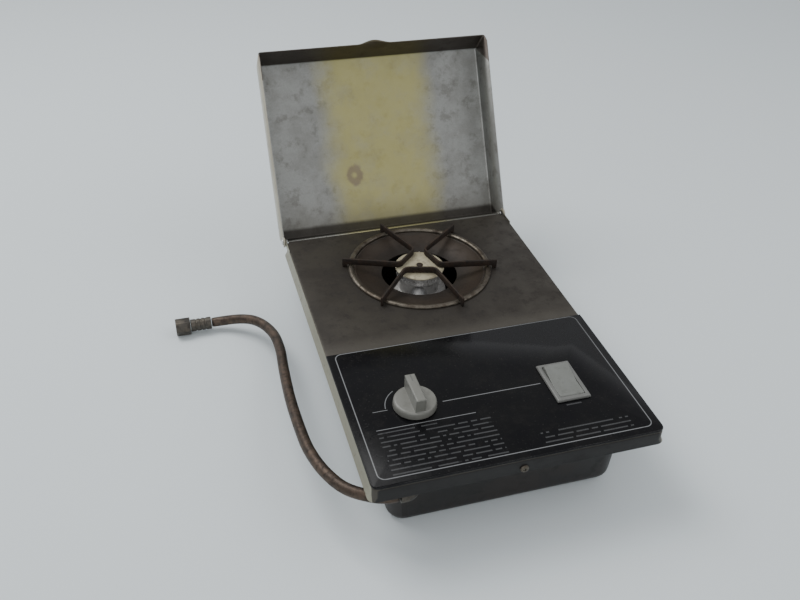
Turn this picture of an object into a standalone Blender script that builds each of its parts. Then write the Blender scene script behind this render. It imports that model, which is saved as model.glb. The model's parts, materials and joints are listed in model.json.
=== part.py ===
"""Single-burner camping stove: a deck pan over a deep tub, a lid hinged at the rear, a control fascia with a
valve knob and an igniter rocker, a three-bar grate over one burner, and a rigid gas pipe down the left side.

Frame: +X right, +Y back, +Z up. The table is z = 0 and the deck's centre is over the origin."""

import math

import bmesh
import bpy
from mathutils import Euler, Matrix, Vector

COLLECTION = "camping_stove"

# Air left between two pieces that touch in the real stove.
GAP = 0.0003
# Thickness of the pressed sheet of the deck, the tub and the lid.
SHEET = 0.001

# Deck: a shallow pan, open below.
DECK_WIDTH = 0.300
DECK_DEPTH = 0.434
DECK_TOP = 0.091
DECK_CORNER = 0.008
DECK_EDGE = 0.002
SKIRT_HEIGHT = 0.0165
SKIRT_STRAIGHT = 0.0105
SKIRT_FLARE = 0.003

# Tub: the deep tray that hangs under the deck and stands on the table.
TUB_INSET_X = 0.023
TUB_INSET_Y = 0.026
TUB_CORNER = 0.018
TUB_FLOOR_EDGE = 0.011
TUB_DRAFT = 0.004
TUB_FLANGE = 0.010
TUB_SCREW_Y = 0.140
TUB_SCREW_HEAD = 0.0034
TUB_SCREW_SHANK = 0.0016

# Burner, on a vertical axis in the rear half of the deck.
BURNER_Y = 0.120
WELL_RIM = 0.080
WELL_HOLE_MARGIN = 0.013
WELL_DROP = 0.009
WELL_LAP = 0.0025
CAP_OVERHANG = 0.002
CAP_HEIGHT = 0.0032
PORT_RING_RADIUS = 0.0285
PORT_RING_HEIGHT = 0.0105
PORT_COUNT = 16
PORT_WIDTH = 0.0022
PORT_HEIGHT = 0.0055
NECK_RADIUS = 0.024
NECK_FILLET = 0.001
BURNER_WALL = 0.004
FLANGE_OVERHANG = 0.0055
FLANGE_HEIGHT = 0.003
BURNER_FOOT_Z = 0.0575
CAP_SCREW_HEAD = 0.0042
CAP_SCREW_SHANK = 0.0019
# Height of the gas line's axis from the valve to the burner.
GAS_LINE_Z = 0.070

# Grate: a half-round ring on the deck with three bent bars on it.
RING_RADIUS = 0.085
RING_WIDTH = 0.007
RING_HEIGHT = 0.0032
BAR_COUNT = 3
BAR_FIRST_ANGLE = math.radians(15)
BAR_HEIGHT = 0.008
BAR_THICKNESS = 0.0025
BAR_NOSE_OUT = 0.0176
BAR_NOSE_WIDTH = 0.037
BAR_REACH = 0.0955
BAR_SPREAD = math.radians(30)
BAR_FOOT_LENGTH = 0.0055
BAR_BEND = 0.006

# Electrode beside the burner, and its lead.
ELECTRODE_ANGLE = math.radians(73)
ELECTRODE_CLEARANCE = 0.001
ELECTRODE_RADIUS = 0.003
ELECTRODE_TOP = 0.084
ELECTRODE_WIRE = 0.0009
SPARK_GAP = 0.005
LEAD_RADIUS = 0.0015

# Control fascia over the deck's front half.
FASCIA_DEPTH = 0.1947
FASCIA_THICKNESS = 0.0022
FASCIA_EDGE = 0.0008

# Valve and knob.
KNOB_X = -0.080
KNOB_Y = -0.120
KNOB_RADIUS = 0.0227
KNOB_BASE_HEIGHT = 0.0078
KNOB_CLEARANCE = 0.0008
GRIP_LENGTH = 0.043
GRIP_WIDTH = 0.0115
GRIP_HEIGHT = 0.016
STEM_RADIUS = 0.004
STEM_HOLE = 0.0053
STEM_IN_KNOB = 0.009
STEM_IN_VALVE = 0.0115
BORE_CLEARANCE = 0.0001
VALVE_SIDE = 0.024
VALVE_HEIGHT = 0.022
VALVE_FOOT_Z = 0.060
VALVE_NUT_RADIUS = 0.009
VALVE_NUT_HEIGHT = 0.005
JET_RADIUS = 0.0045
JET_LENGTH = 0.012
JET_AIR_GAP = 0.006
MIXING_MOUTH = 0.0115
MIXING_THROAT = 0.0075
MIXING_END = 0.0085

# Standing brackets of bent strip inside the tub.
BRACKET_SHEET = 0.0015
BRACKET_FOOT = 0.012
BURNER_BRACKET_WIDTH = 0.034
VALVE_BRACKET_SPAN = 0.044
VALVE_BRACKET_WIDTH = 0.020

# Igniter rocker in its bezel, with the piezo unit below.
ROCKER_X = 0.080
ROCKER_Y = -0.1265
BEZEL_WIDTH = 0.037
BEZEL_DEPTH = 0.057
BEZEL_HEIGHT = 0.0032
BEZEL_BEVEL = 0.0018
SLEEVE_WIDTH = 0.031
SLEEVE_DEPTH = 0.051
SLEEVE_WALL = 0.0015
SLEEVE_DROP = 0.012
ROCKER_SIDE_CLEARANCE = 0.0005
ROCKER_PIVOT_DROP = 0.002
ROCKER_PIN_RADIUS = 0.0015
PLUNGER_OFFSET = 0.014
PLUNGER_RADIUS = 0.004
PLUNGER_CROWN = 0.0009  # the top slopes away, so that the tipped rocker's flat underside clears its edge
PLUNGER_CROWN_RADIUS = 0.0014
PIEZO_RADIUS = 0.009
PIEZO_LENGTH = 0.038
PIEZO_PLATE = 0.002

# Lid: a pan of sheet, drawn closed with its hinge line through the origin, then swung open.
LID_SIDE_CLEARANCE = 0.001
LID_LENGTH = 0.228
LID_DEPTH_OVER_PIVOT = 0.0398
LID_DEPTH_UNDER_PIVOT = 0.0042
LID_FRONT_DEPTH = 0.0358
LID_FRONT_FLARE = 0.011
LID_FRONT_CHAMFER = 0.003
LID_BEND = 0.0018
LID_OPEN_ANGLE = math.radians(119)
HINGE_BEHIND_DECK = 0.0045
HINGE_BELOW_TOP = 0.003
EAR_RADIUS = 0.007
EAR_THICKNESS = 0.002
EAR_STANDOFF = 0.0006
LID_NOTCH_WIDTH = 0.0045
LID_NOTCH_HEIGHT = 0.0085
FINGER_LIFT_WIDTH = 0.046
FINGER_LIFT_OUT = 0.0052
FINGER_LIFT_RISE = 0.0026
FINGER_LIFT_BAND = 0.014
HINGE_TAB_THICKNESS = 0.0013
HINGE_TAB_BEHIND = 0.0045
HINGE_TAB_ABOVE = 0.0045
HINGE_TAB_LENGTH = 0.030
HINGE_PIN_RADIUS = 0.00195
HINGE_HOLE_RADIUS = 0.0020
HINGE_PIN_HEAD = 0.004
HINGE_PIN_HEAD_HEIGHT = 0.0016
STOP_WIDTH = 0.090
STOP_REACH = 0.0137
STOP_BELOW_TOP = 0.0098
STOP_LEG = 0.0062
STOP_SHEET = 0.0015

# Gas inlet on the tub's front wall and the rigid pipe to the flare nut.
INLET_X = -0.105
INLET_Z = 0.064
INLET_RADIUS = 0.0075
INLET_BEND = 0.009
INLET_STRAIGHT = 0.006
INLET_STANDOFF = 0.014
INLET_INSIDE = 0.020
INLET_NUT_RADIUS = 0.0115
INLET_NUT_HEIGHT = 0.005
SUPPLY_RADIUS = 0.004
PIPE_RADIUS = 0.00635
PIPE_SPACING = 0.012
SLEEVE_LENGTH = 0.0257
SLEEVE_RADIUS = 0.00785
NUT_RADIUS = 0.0112
NUT_LENGTH = 0.0181
NUT_BORE = 0.0062
NUT_BORE_DEPTH = 0.012
NUT_CHAMFER = 0.0012

# Pan-head screw in the middle of the front skirt.
FRONT_SCREW_BELOW_TOP = 0.0105
FRONT_SCREW_HEAD = 0.0045
FRONT_SCREW_HEAD_HEIGHT = 0.0026
FRONT_SCREW_SHANK = 0.0019
FRONT_SCREW_LENGTH = 0.008

# Values that follow from the sizes above.
CAP_RADIUS = PORT_RING_RADIUS + CAP_OVERHANG
FLANGE_RADIUS = PORT_RING_RADIUS + FLANGE_OVERHANG
WELL_HOLE = FLANGE_RADIUS + WELL_HOLE_MARGIN
ELECTRODE_OUT = FLANGE_RADIUS + ELECTRODE_RADIUS + ELECTRODE_CLEARANCE
ELECTRODE_TIP_OUT = PORT_RING_RADIUS + SPARK_GAP
BURNER_BRACKET_SPAN = 2 * (ELECTRODE_OUT * math.sin(ELECTRODE_ANGLE) + ELECTRODE_RADIUS + ELECTRODE_CLEARANCE)
HALF_WIDTH = DECK_WIDTH / 2
HALF_DEPTH = DECK_DEPTH / 2
DECK_UNDERSIDE = DECK_TOP - SHEET
FASCIA_FOOT = DECK_TOP + GAP
FASCIA_TOP = FASCIA_FOOT + FASCIA_THICKNESS
FASCIA_BACK = -HALF_DEPTH + FASCIA_DEPTH
TUB_HALF_X = HALF_WIDTH - TUB_INSET_X
TUB_HALF_Y = HALF_DEPTH - TUB_INSET_Y
RING_FOOT = DECK_TOP + GAP
BAR_FOOT = RING_FOOT + RING_HEIGHT + GAP
HINGE_Y = HALF_DEPTH + HINGE_BEHIND_DECK
HINGE_Z = DECK_TOP - HINGE_BELOW_TOP
LID_HALF = HALF_WIDTH + LID_SIDE_CLEARANCE
KNOB_FOOT = FASCIA_TOP + KNOB_CLEARANCE
BEZEL_FOOT = FASCIA_TOP + GAP
SLEEVE_FOOT = DECK_TOP - SLEEVE_DROP
ROCKER_PIVOT_Z = DECK_TOP - ROCKER_PIVOT_DROP
GAS_AIM = (Vector((0.0, BURNER_Y, 0.0)) - Vector((KNOB_X, KNOB_Y, 0.0))).normalized()
GAS_YAW = math.atan2(-GAS_AIM.x, GAS_AIM.y)

# The pipe's own points, from the inlet elbow's mouth round the left side to the sleeve.
INLET_MOUTH = Vector((INLET_X - INLET_BEND - INLET_STRAIGHT, -TUB_HALF_Y - INLET_STANDOFF, INLET_Z))
PIPE_OFFSETS = (
    (0.0000, 0.0000, 0.0000),
    (-0.0070, 0.0000, 0.0000),
    (-0.0190, 0.0025, 0.0000),
    (-0.0352, 0.0120, -0.0003),
    (-0.0434, 0.0187, -0.0010),
    (-0.0509, 0.0283, -0.0020),
    (-0.0620, 0.0548, -0.0050),
    (-0.0693, 0.0875, -0.0080),
    (-0.0715, 0.1205, -0.0110),
    (-0.0722, 0.1733, -0.0160),
    (-0.0694, 0.2311, -0.0220),
    (-0.0662, 0.2735, -0.0270),
    (-0.0672, 0.3063, -0.0310),
    (-0.0722, 0.3291, -0.0350),
    (-0.0796, 0.3465, -0.0380),
    (-0.0901, 0.3616, -0.0420),
    (-0.1018, 0.3705, -0.0455),
    (-0.1160, 0.3775, -0.0500),
    (-0.1290, 0.3810, -0.0527),
    (-0.1370, 0.3810, -0.0527),
)
PIPE_ROUTE = [INLET_MOUTH + Vector(offset) for offset in PIPE_OFFSETS]
# The igniter lead's own points, from the piezo unit over the tub's floor to the electrode.
LEAD_ROUTE = (
    (0.0800, -0.1125, 0.0384),
    (0.0800, -0.1115, 0.0200),
    (0.0790, -0.0900, 0.0060),
    (0.0740, -0.0400, 0.0035),
    (0.0640, 0.0200, 0.0035),
    (0.0520, 0.0900, 0.0035),
    (0.0430, 0.1300, 0.0100),
    (0.0340, 0.1500, 0.0400),
    (0.0260, 0.1560, 0.0590),
    (0.0210, 0.1563, 0.0630),
    (0.0160, 0.1563, 0.0640),
)


def clear_scene():
    """Removes every object that the scene starts with."""
    for obj in list(bpy.data.objects):
        bpy.data.objects.remove(obj, do_unlink=True)


def new_collection(name):
    """A collection under the scene's own."""
    collection = bpy.data.collections.new(name)
    bpy.context.scene.collection.children.link(collection)
    return collection


def finish(name, colour, roughness, metallic):
    """A Principled material of one colour."""
    material = bpy.data.materials.new(name)
    material.use_nodes = True
    shader = material.node_tree.nodes["Principled BSDF"]
    shader.inputs["Base Color"].default_value = (*colour, 1.0)
    shader.inputs["Roughness"].default_value = roughness
    shader.inputs["Metallic"].default_value = metallic
    material.diffuse_color = (*colour, 1.0)
    return material


class Workshop:
    """Makes objects in the part's collection, and the helpers that cut or join them in another."""

    def __init__(self):
        self.parts = new_collection(COLLECTION)
        self.helpers = new_collection(COLLECTION + "_cutters")

    def place(self, name, data, material, at=(0.0, 0.0, 0.0), turn=(0.0, 0.0, 0.0)):
        obj = bpy.data.objects.new(name, data)
        obj.location = at
        obj.rotation_euler = turn
        data.materials.append(material)
        self.parts.objects.link(obj)
        return obj

    def solid(self, name, bm, material, at=(0.0, 0.0, 0.0), turn=(0.0, 0.0, 0.0)):
        """An object from a bmesh, which is used up."""
        return self.place(name, mesh_of(name, bm), material, at, turn)

    def turned(self, name, profile, material, at=(0.0, 0.0, 0.0), turn=(0.0, 0.0, 0.0), steps=48, closed=False):
        """An object turned about its own Z from a profile of (radius, height), outer side running down."""
        obj = self.place(name, profile_mesh(name, profile, closed), material, at, turn)
        lathe(obj, steps)
        return obj

    def tube(self, name, points, radius, material, resolution=4):
        """A round tube with closed ends along points."""
        curve = bpy.data.curves.new(name, "CURVE")
        curve.dimensions = "3D"
        curve.bevel_depth = radius
        curve.bevel_resolution = resolution
        curve.use_fill_caps = True
        spline = curve.splines.new("POLY")
        spline.points.add(len(points) - 1)
        for place, point in zip(spline.points, points):
            place.co = (*point, 1.0)
        spline.use_smooth = True
        return self.place(name, curve, material)

    def helper(self, name, data):
        obj = bpy.data.objects.new(name, data)
        obj.hide_render = True
        obj.display_type = "WIRE"
        self.helpers.objects.link(obj)
        return obj

    def apply(self, obj, label, bm, operation):
        """Cuts or joins a bmesh shape, given in the object's own frame, with a Boolean modifier."""
        other = self.helper(f"{obj.name}_{label}", mesh_of(f"{obj.name}_{label}", bm))
        self.match(obj, other)
        boolean(obj, label, other, operation)

    def match(self, obj, other):
        other.location = obj.location
        other.rotation_euler = obj.rotation_euler

    def cut(self, obj, label, bm):
        self.apply(obj, label, bm, "DIFFERENCE")

    def join(self, obj, label, bm):
        self.apply(obj, label, bm, "UNION")


def boolean(obj, label, other, operation):
    modifier = obj.modifiers.new(label, "BOOLEAN")
    modifier.object = other
    modifier.operation = operation
    modifier.solver = "EXACT"


def mesh_of(name, bm):
    mesh = bpy.data.meshes.new(name)
    bm.to_mesh(mesh)
    bm.free()
    return mesh


def profile_mesh(name, profile, closed):
    """A mesh of the profile's points and the edges between them."""
    bm = bmesh.new()
    points = [bm.verts.new((radius, 0.0, height)) for radius, height in profile]
    for first, second in zip(points, points[1:]):
        bm.edges.new((first, second))
    if closed:
        bm.edges.new((points[-1], points[0]))
    return mesh_of(name, bm)


def lathe(obj, steps):
    screw = obj.modifiers.new("turned", "SCREW")
    screw.axis = "Z"
    screw.steps = steps
    screw.render_steps = steps
    screw.use_merge_vertices = True
    screw.merge_threshold = 0.00001
    screw.use_smooth_shade = True


def box(low, high):
    """A closed box between two opposite corners."""
    bm = bmesh.new()
    low = Vector(low)
    high = Vector(high)
    shape = Matrix.Translation((low + high) / 2) @ Matrix.Diagonal((*(high - low), 1.0))
    bmesh.ops.create_cube(bm, size=1.0, matrix=shape)
    return bm


def rod(start, end, radius, segments=32):
    """A closed cylinder between two points."""
    bm = bmesh.new()
    start = Vector(start)
    axis = Vector(end) - start
    shape = Matrix.Translation(start + axis / 2) @ axis.to_track_quat("Z", "Y").to_matrix().to_4x4()
    bmesh.ops.create_cone(
        bm,
        cap_ends=True,
        segments=segments,
        radius1=radius,
        radius2=radius,
        depth=axis.length,
        matrix=shape,
    )
    return bm


def edges_where(bm, test):
    """The edges whose two ends both pass the test."""
    return [edge for edge in bm.edges if all(test(vert.co) for vert in edge.verts)]


def upright_edges(bm):
    """The edges that run along Z."""
    return [edge for edge in bm.edges if (edge.verts[0].co - edge.verts[1].co).xy.length < 1e-6]


def round_off(bm, edges, radius, segments):
    bmesh.ops.bevel(
        bm, geom=edges, offset=radius, offset_type="OFFSET", segments=segments, profile=0.5, affect="EDGES", material=-1
    )


def face_up(bm):
    """Turns every face of an open shell outward: its largest face looks up."""
    bmesh.ops.recalc_face_normals(bm, faces=bm.faces)
    bm.normal_update()
    if max(bm.faces, key=lambda face: face.calc_area()).normal.z < 0:
        bmesh.ops.reverse_faces(bm, faces=bm.faces)


def thicken(obj, thickness, offset):
    """Solidify: offset -1 grows away from the faces' normals, and 1 along them."""
    shell = obj.modifiers.new("sheet", "SOLIDIFY")
    shell.thickness = thickness
    shell.offset = offset
    shell.use_even_offset = True
    shell.use_quality_normals = True


def smooth(obj, degrees=35):
    """Smooth shading, with edges sharper than this left hard."""
    obj.data.shade_smooth()
    obj.data.set_sharp_from_angle(angle=math.radians(degrees))


def through(points, spacing):
    """Points about this far apart on a smooth curve through the route's own points."""
    route = [Vector(point) for point in points]
    route = [2 * route[0] - route[1]] + route + [2 * route[-1] - route[-2]]
    path = []
    for before, start, end, after in zip(route, route[1:], route[2:], route[3:]):
        steps = max(1, round((end - start).length / spacing))
        for step in range(steps):
            t = step / steps
            path.append(
                0.5
                * (
                    2 * start
                    + (end - before) * t
                    + (2 * before - 5 * start + 4 * end - after) * t**2
                    + (3 * start - before - 3 * end + after) * t**3
                )
            )
    path.append(route[-2])
    return path


def hexagon(start, end, radius):
    return rod(start, end, radius, segments=6)


# --- Deck, tub and fascia ---------------------------------------------------------------------------------


def deck_shell():
    """The deck's outer skin: a flat top with rounded corners and edge, and skirts that flare at the sides."""
    bm = bmesh.new()
    plate = Matrix.Translation((0.0, 0.0, DECK_TOP)) @ Matrix.Diagonal((DECK_WIDTH, DECK_DEPTH, 1.0, 1.0))
    bmesh.ops.create_grid(bm, x_segments=1, y_segments=1, size=0.5, matrix=plate)
    bmesh.ops.bevel(
        bm, geom=bm.verts[:], offset=DECK_CORNER, offset_type="OFFSET", segments=5, profile=0.5, affect="VERTICES"
    )
    top_edge = bm.edges[:]
    flare = (HALF_WIDTH + SKIRT_FLARE) / HALF_WIDTH
    ring = top_edge
    for drop, spread in ((SKIRT_STRAIGHT, 1.0), (SKIRT_HEIGHT - SKIRT_STRAIGHT, flare)):
        made = bmesh.ops.extrude_edge_only(bm, edges=ring)["geom"]
        verts = [item for item in made if isinstance(item, bmesh.types.BMVert)]
        ring = [item for item in made if isinstance(item, bmesh.types.BMEdge)]
        for vert in verts:
            vert.co.x *= spread
            vert.co.z -= drop
    round_off(bm, top_edge, DECK_EDGE, 3)
    face_up(bm)
    return bm


def well_profile():
    """Section of the sheet that slopes from the well's rim, inside the deck's thickness, to its hole."""
    slope = WELL_DROP / (WELL_RIM - WELL_HOLE)
    sunk = 0.2 * SHEET
    return (
        (WELL_RIM + WELL_LAP, -sunk),
        (WELL_RIM + WELL_LAP, -SHEET + sunk),
        (WELL_RIM, -SHEET - sunk),
        (WELL_HOLE, -WELL_DROP - SHEET),
        (WELL_HOLE, -WELL_DROP),
        (WELL_RIM, -sunk - slope * 0.0005),
    )


def deck_plate(shop, material):
    deck = shop.solid("deck_plate", deck_shell(), material)
    thicken(deck, SHEET, -1)
    burner = Vector((0.0, BURNER_Y, DECK_TOP))
    reach = Vector((0.0, 0.0, 4 * SHEET))
    shop.cut(deck, "well_opening", rod(burner - reach, burner + reach, WELL_RIM - 0.0005, 48))
    well = shop.helper("deck_plate_well", profile_mesh("deck_plate_well", well_profile(), True))
    well.location = burner
    lathe(well, 48)
    boolean(deck, "well", well, "UNION")
    stem = Vector((KNOB_X, KNOB_Y, DECK_TOP))
    shop.cut(deck, "stem_hole", rod(stem - reach, stem + reach, STEM_HOLE))
    shop.cut(deck, "sleeve_hole", sleeve_clearance(DECK_TOP - 4 * SHEET, DECK_TOP + 4 * SHEET))
    for side, label in ((-1, "left"), (1, "right")):
        shop.join(deck, f"hinge_tab_{label}", hinge_tab(side))
        shop.cut(deck, f"hinge_hole_{label}", hinge_hole(side))
    front = Vector((0.0, -HALF_DEPTH, DECK_TOP - FRONT_SCREW_BELOW_TOP))
    out = Vector((0.0, 4 * SHEET, 0.0))
    shop.cut(deck, "front_screw_hole", rod(front - out, front + out, FRONT_SCREW_SHANK + GAP, 16))
    smooth(deck)


def hinge_tab(side):
    """A rounded tab that carries the side skirt back past the deck's rear edge, round the hinge pin."""
    outer = side * (HALF_WIDTH - 0.15 * SHEET)
    inner = outer - side * HINGE_TAB_THICKNESS
    low = Vector((min(outer, inner), HINGE_Y - HINGE_TAB_LENGTH, HINGE_Z - HINGE_TAB_ABOVE))
    high = Vector((max(outer, inner), HINGE_Y + HINGE_TAB_BEHIND, HINGE_Z + HINGE_TAB_ABOVE))
    bm = box(low, high)
    ends = [
        edge
        for edge in bm.edges
        if abs(edge.verts[0].co.x - edge.verts[1].co.x) > 1e-5 and all(vert.co.y > HINGE_Y for vert in edge.verts)
    ]
    round_off(bm, ends, HINGE_TAB_ABOVE * 0.95, 5)
    return bm


def hinge_hole(side):
    x = side * HALF_WIDTH
    return rod((x - 0.006, HINGE_Y, HINGE_Z), (x + 0.006, HINGE_Y, HINGE_Z), HINGE_HOLE_RADIUS, 24)


def sleeve_clearance(low_z, high_z):
    """Box of the hole that the igniter's sleeve passes."""
    half_x = SLEEVE_WIDTH / 2 + GAP
    half_y = SLEEVE_DEPTH / 2 + GAP
    return box((ROCKER_X - half_x, ROCKER_Y - half_y, low_z), (ROCKER_X + half_x, ROCKER_Y + half_y, high_z))


def tub_shell():
    """The tub's outer skin: drafted walls, round corners and floor edge, and a flange round the top."""
    top = DECK_UNDERSIDE - GAP - SHEET
    bm = box((-TUB_HALF_X, -TUB_HALF_Y, 0.0), (TUB_HALF_X, TUB_HALF_Y, top))
    roof = [face for face in bm.faces if face.normal.z > 0.9]
    bmesh.ops.delete(bm, geom=roof, context="FACES")
    for vert in bm.verts:
        if vert.co.z < top / 2:
            vert.co.x -= math.copysign(TUB_DRAFT, vert.co.x)
            vert.co.y -= math.copysign(TUB_DRAFT, vert.co.y)
    walls = [edge for edge in bm.edges if abs(edge.verts[0].co.z - edge.verts[1].co.z) > top / 2]
    round_off(bm, walls, TUB_CORNER, 5)
    round_off(bm, edges_where(bm, lambda co: co.z < 1e-6), TUB_FLOOR_EDGE, 4)
    rim = edges_where(bm, lambda co: co.z > top - 1e-6)
    made = bmesh.ops.extrude_edge_only(bm, edges=rim)["geom"]
    for vert in (item for item in made if isinstance(item, bmesh.types.BMVert)):
        vert.co.x *= (TUB_HALF_X + TUB_FLANGE) / TUB_HALF_X
        vert.co.y *= (TUB_HALF_Y + TUB_FLANGE) / TUB_HALF_Y
    bmesh.ops.recalc_face_normals(bm, faces=bm.faces)
    bm.normal_update()
    floor = min(bm.faces, key=lambda face: face.calc_center_median().z)
    if floor.normal.z > 0:
        bmesh.ops.reverse_faces(bm, faces=bm.faces)
    return bm


def well_relief_profile():
    """The well's underside, from the deck's top, kept clear of the tub's rim behind the burner."""
    clear = 2 * GAP
    return (
        (0.0, SHEET),
        (WELL_RIM + WELL_LAP + clear, SHEET),
        (WELL_RIM + WELL_LAP + clear, -SHEET - clear),
        (WELL_RIM, -SHEET - 0.2 * SHEET - clear),
        (WELL_HOLE, -WELL_DROP - SHEET - clear),
        (0.0, -WELL_DROP - SHEET - clear),
    )


def tub_screw_places():
    x = TUB_HALF_X + TUB_FLANGE / 2
    return [(sx * x, sy * TUB_SCREW_Y) for sx in (-1, 1) for sy in (-1, 1)]


def tub(shop, material, screw_material):
    """The tub, with its holes for the gas inlet and for the four screws under its flange."""
    pan = shop.solid("tub", tub_shell(), material)
    thicken(pan, SHEET, -1)
    inlet = Vector((INLET_X, -TUB_HALF_Y, INLET_Z))
    shop.cut(
        pan,
        "inlet_hole",
        rod(inlet - Vector((0, 0.01, 0)), inlet + Vector((0, 0.01, 0)), INLET_RADIUS + GAP),
    )
    relief = shop.helper("tub_well_relief", profile_mesh("tub_well_relief", well_relief_profile(), False))
    relief.location = (0.0, BURNER_Y, DECK_TOP)
    lathe(relief, 48)
    boolean(pan, "well_relief", relief, "DIFFERENCE")
    flange_top = DECK_UNDERSIDE - GAP
    flange_foot = flange_top - SHEET
    head = 0.0021
    profile = (
        (0.0, SHEET - GAP),
        (TUB_SCREW_SHANK, SHEET - GAP),
        (TUB_SCREW_SHANK, -GAP),
        (TUB_SCREW_HEAD, -GAP),
        (TUB_SCREW_HEAD, -GAP - 0.6 * head),
        (0.7 * TUB_SCREW_HEAD, -GAP - head),
        (0.0, -GAP - head),
    )
    for number, (x, y) in enumerate(tub_screw_places(), 1):
        hole = rod((x, y, flange_foot - SHEET), (x, y, flange_top + SHEET), TUB_SCREW_SHANK + GAP, 16)
        shop.cut(pan, f"screw_hole_{number}", hole)
        shop.turned(f"tub_screw_{number}", profile, screw_material, (x, y, flange_foot), steps=16)
    smooth(pan)


def control_fascia(shop, material):
    """The plate over the deck's front half, rounded at its two front corners."""
    bm = box((-HALF_WIDTH, -HALF_DEPTH, FASCIA_FOOT), (HALF_WIDTH, FASCIA_BACK, FASCIA_TOP))
    corners = [edge for edge in upright_edges(bm) if edge.verts[0].co.y < FASCIA_BACK - 1e-4]
    round_off(bm, corners, DECK_CORNER, 6)
    top = edges_where(bm, lambda co: co.z > FASCIA_TOP - 1e-6)
    round_off(bm, top, FASCIA_EDGE, 2)
    plate = shop.solid("control_fascia", bm, material)
    stem = Vector((KNOB_X, KNOB_Y, FASCIA_TOP))
    reach = Vector((0.0, 0.0, 2 * FASCIA_THICKNESS))
    shop.cut(plate, "stem_hole", rod(stem - reach, stem + reach, STEM_HOLE))
    shop.cut(plate, "sleeve_hole", sleeve_clearance(FASCIA_TOP - 0.01, FASCIA_TOP + 0.01))
    smooth(plate)


def front_screw(shop, material):
    rim = FRONT_SCREW_HEAD
    high = FRONT_SCREW_HEAD_HEIGHT
    profile = (
        (0.0, high),
        (0.45 * rim, 0.95 * high),
        (0.8 * rim, 0.72 * high),
        (0.97 * rim, 0.4 * high),
        (rim, 0.0),
        (FRONT_SCREW_SHANK, 0.0),
        (FRONT_SCREW_SHANK, -FRONT_SCREW_LENGTH),
        (0.0, -FRONT_SCREW_LENGTH),
    )
    at = (0.0, -HALF_DEPTH - GAP, DECK_TOP - FRONT_SCREW_BELOW_TOP)
    screw = shop.turned("front_screw", profile, material, at, (math.radians(90), 0.0, 0.0), steps=24)
    arm = 0.55 * rim
    slot = 0.0005
    for label, half_x, half_y in (("slot_across", arm, slot), ("slot_along", slot, arm)):
        shop.cut(screw, label, box((-half_x, -half_y, 0.45 * high), (half_x, half_y, 2 * high)))


# --- Lid ----------------------------------------------------------------------------------------------------


def lid_shell():
    """The lid's inner skin, closed over the deck, with the hinge line through the origin along X."""
    bm = box((-LID_HALF, -LID_LENGTH, -LID_DEPTH_UNDER_PIVOT), (LID_HALF, 0.0, LID_DEPTH_OVER_PIVOT))
    open_side = [face for face in bm.faces if face.normal.z < -0.9]
    bmesh.ops.delete(bm, geom=open_side, context="FACES")
    edge_z = LID_DEPTH_OVER_PIVOT - LID_FRONT_DEPTH
    for vert in bm.verts:
        if vert.co.y < -LID_LENGTH / 2 and vert.co.z < 0:
            vert.co.y -= LID_FRONT_FLARE
            vert.co.z = edge_z
    for edge in [edge for edge in bm.edges if edge.is_boundary and abs(edge.verts[0].co.x - edge.verts[1].co.x) < 1e-5]:
        rear = max(edge.verts, key=lambda vert: vert.co.y)
        _, corner = bmesh.utils.edge_split(edge, rear, 0.5)
        corner.co.y = -LID_LENGTH - LID_FRONT_CHAMFER
        corner.co.z = -LID_DEPTH_UNDER_PIVOT
    bends = [edge for edge in bm.edges if not edge.is_boundary]
    round_off(bm, bends, LID_BEND, 2)
    finger_lift(bm, edge_z)
    face_up(bm)
    return bm


def finger_lift(bm, edge_z):
    """Presses a bulge for the fingers into the middle of the front wall's free edge."""
    wall = min(bm.faces, key=lambda face: face.calc_center_median().y)
    columns = 8
    cuts = [(Vector((FINGER_LIFT_WIDTH * (i / columns - 0.5), 0, 0)), Vector((1, 0, 0))) for i in range(columns + 1)]
    cuts += [(Vector((0, 0, edge_z + FINGER_LIFT_BAND * i / 2)), Vector((0, 0, 1))) for i in (1, 2)]
    faces = [wall]
    for point, normal in cuts:
        geometry = set(faces) | {edge for face in faces for edge in face.edges}
        geometry |= {vert for face in faces for vert in face.verts}
        cut = bmesh.ops.bisect_plane(bm, geom=list(geometry), plane_co=point, plane_no=normal)
        faces = [item for item in cut["geom"] if isinstance(item, bmesh.types.BMFace)]
    for vert in {vert for face in faces for vert in face.verts}:
        across = min(1.0, abs(vert.co.x) / (FINGER_LIFT_WIDTH / 2))
        down = max(0.0, 1.0 - (vert.co.z - edge_z) / FINGER_LIFT_BAND)
        bulge = math.cos(across * math.pi / 2) ** 2 * down
        vert.co.y -= FINGER_LIFT_OUT * bulge
        vert.co.z += FINGER_LIFT_RISE * bulge


def lid_ear(side):
    """The thick round boss of the lid's side wall, round its hinge pin."""
    inner = side * (LID_HALF - LID_SIDE_CLEARANCE + EAR_STANDOFF)
    outer = inner + side * EAR_THICKNESS
    return rod((inner, 0.0, 0.0), (outer, 0.0, 0.0), EAR_RADIUS, 32)


def lid(shop, material):
    pan = shop.solid("lid", lid_shell(), material, (0.0, HINGE_Y, HINGE_Z), (-LID_OPEN_ANGLE, 0.0, 0.0))
    thicken(pan, SHEET, 1)
    for side, label in ((-1, "left"), (1, "right")):
        notch_outer = side * (LID_HALF - 0.05 * SHEET)
        notch_inner = notch_outer - side * LID_NOTCH_WIDTH
        low = Vector((min(notch_outer, notch_inner), -LID_NOTCH_HEIGHT, -LID_NOTCH_HEIGHT))
        high = Vector((max(notch_outer, notch_inner), LID_NOTCH_HEIGHT, LID_NOTCH_HEIGHT))
        shop.cut(pan, f"notch_{label}", box(low, high))
        shop.join(pan, f"ear_{label}", lid_ear(side))
        x = side * LID_HALF
        hole = rod((x - 0.005, 0.0, 0.0), (x + 0.005, 0.0, 0.0), HINGE_HOLE_RADIUS, 24)
        shop.cut(pan, f"pin_hole_{label}", hole)
    smooth(pan)


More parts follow.
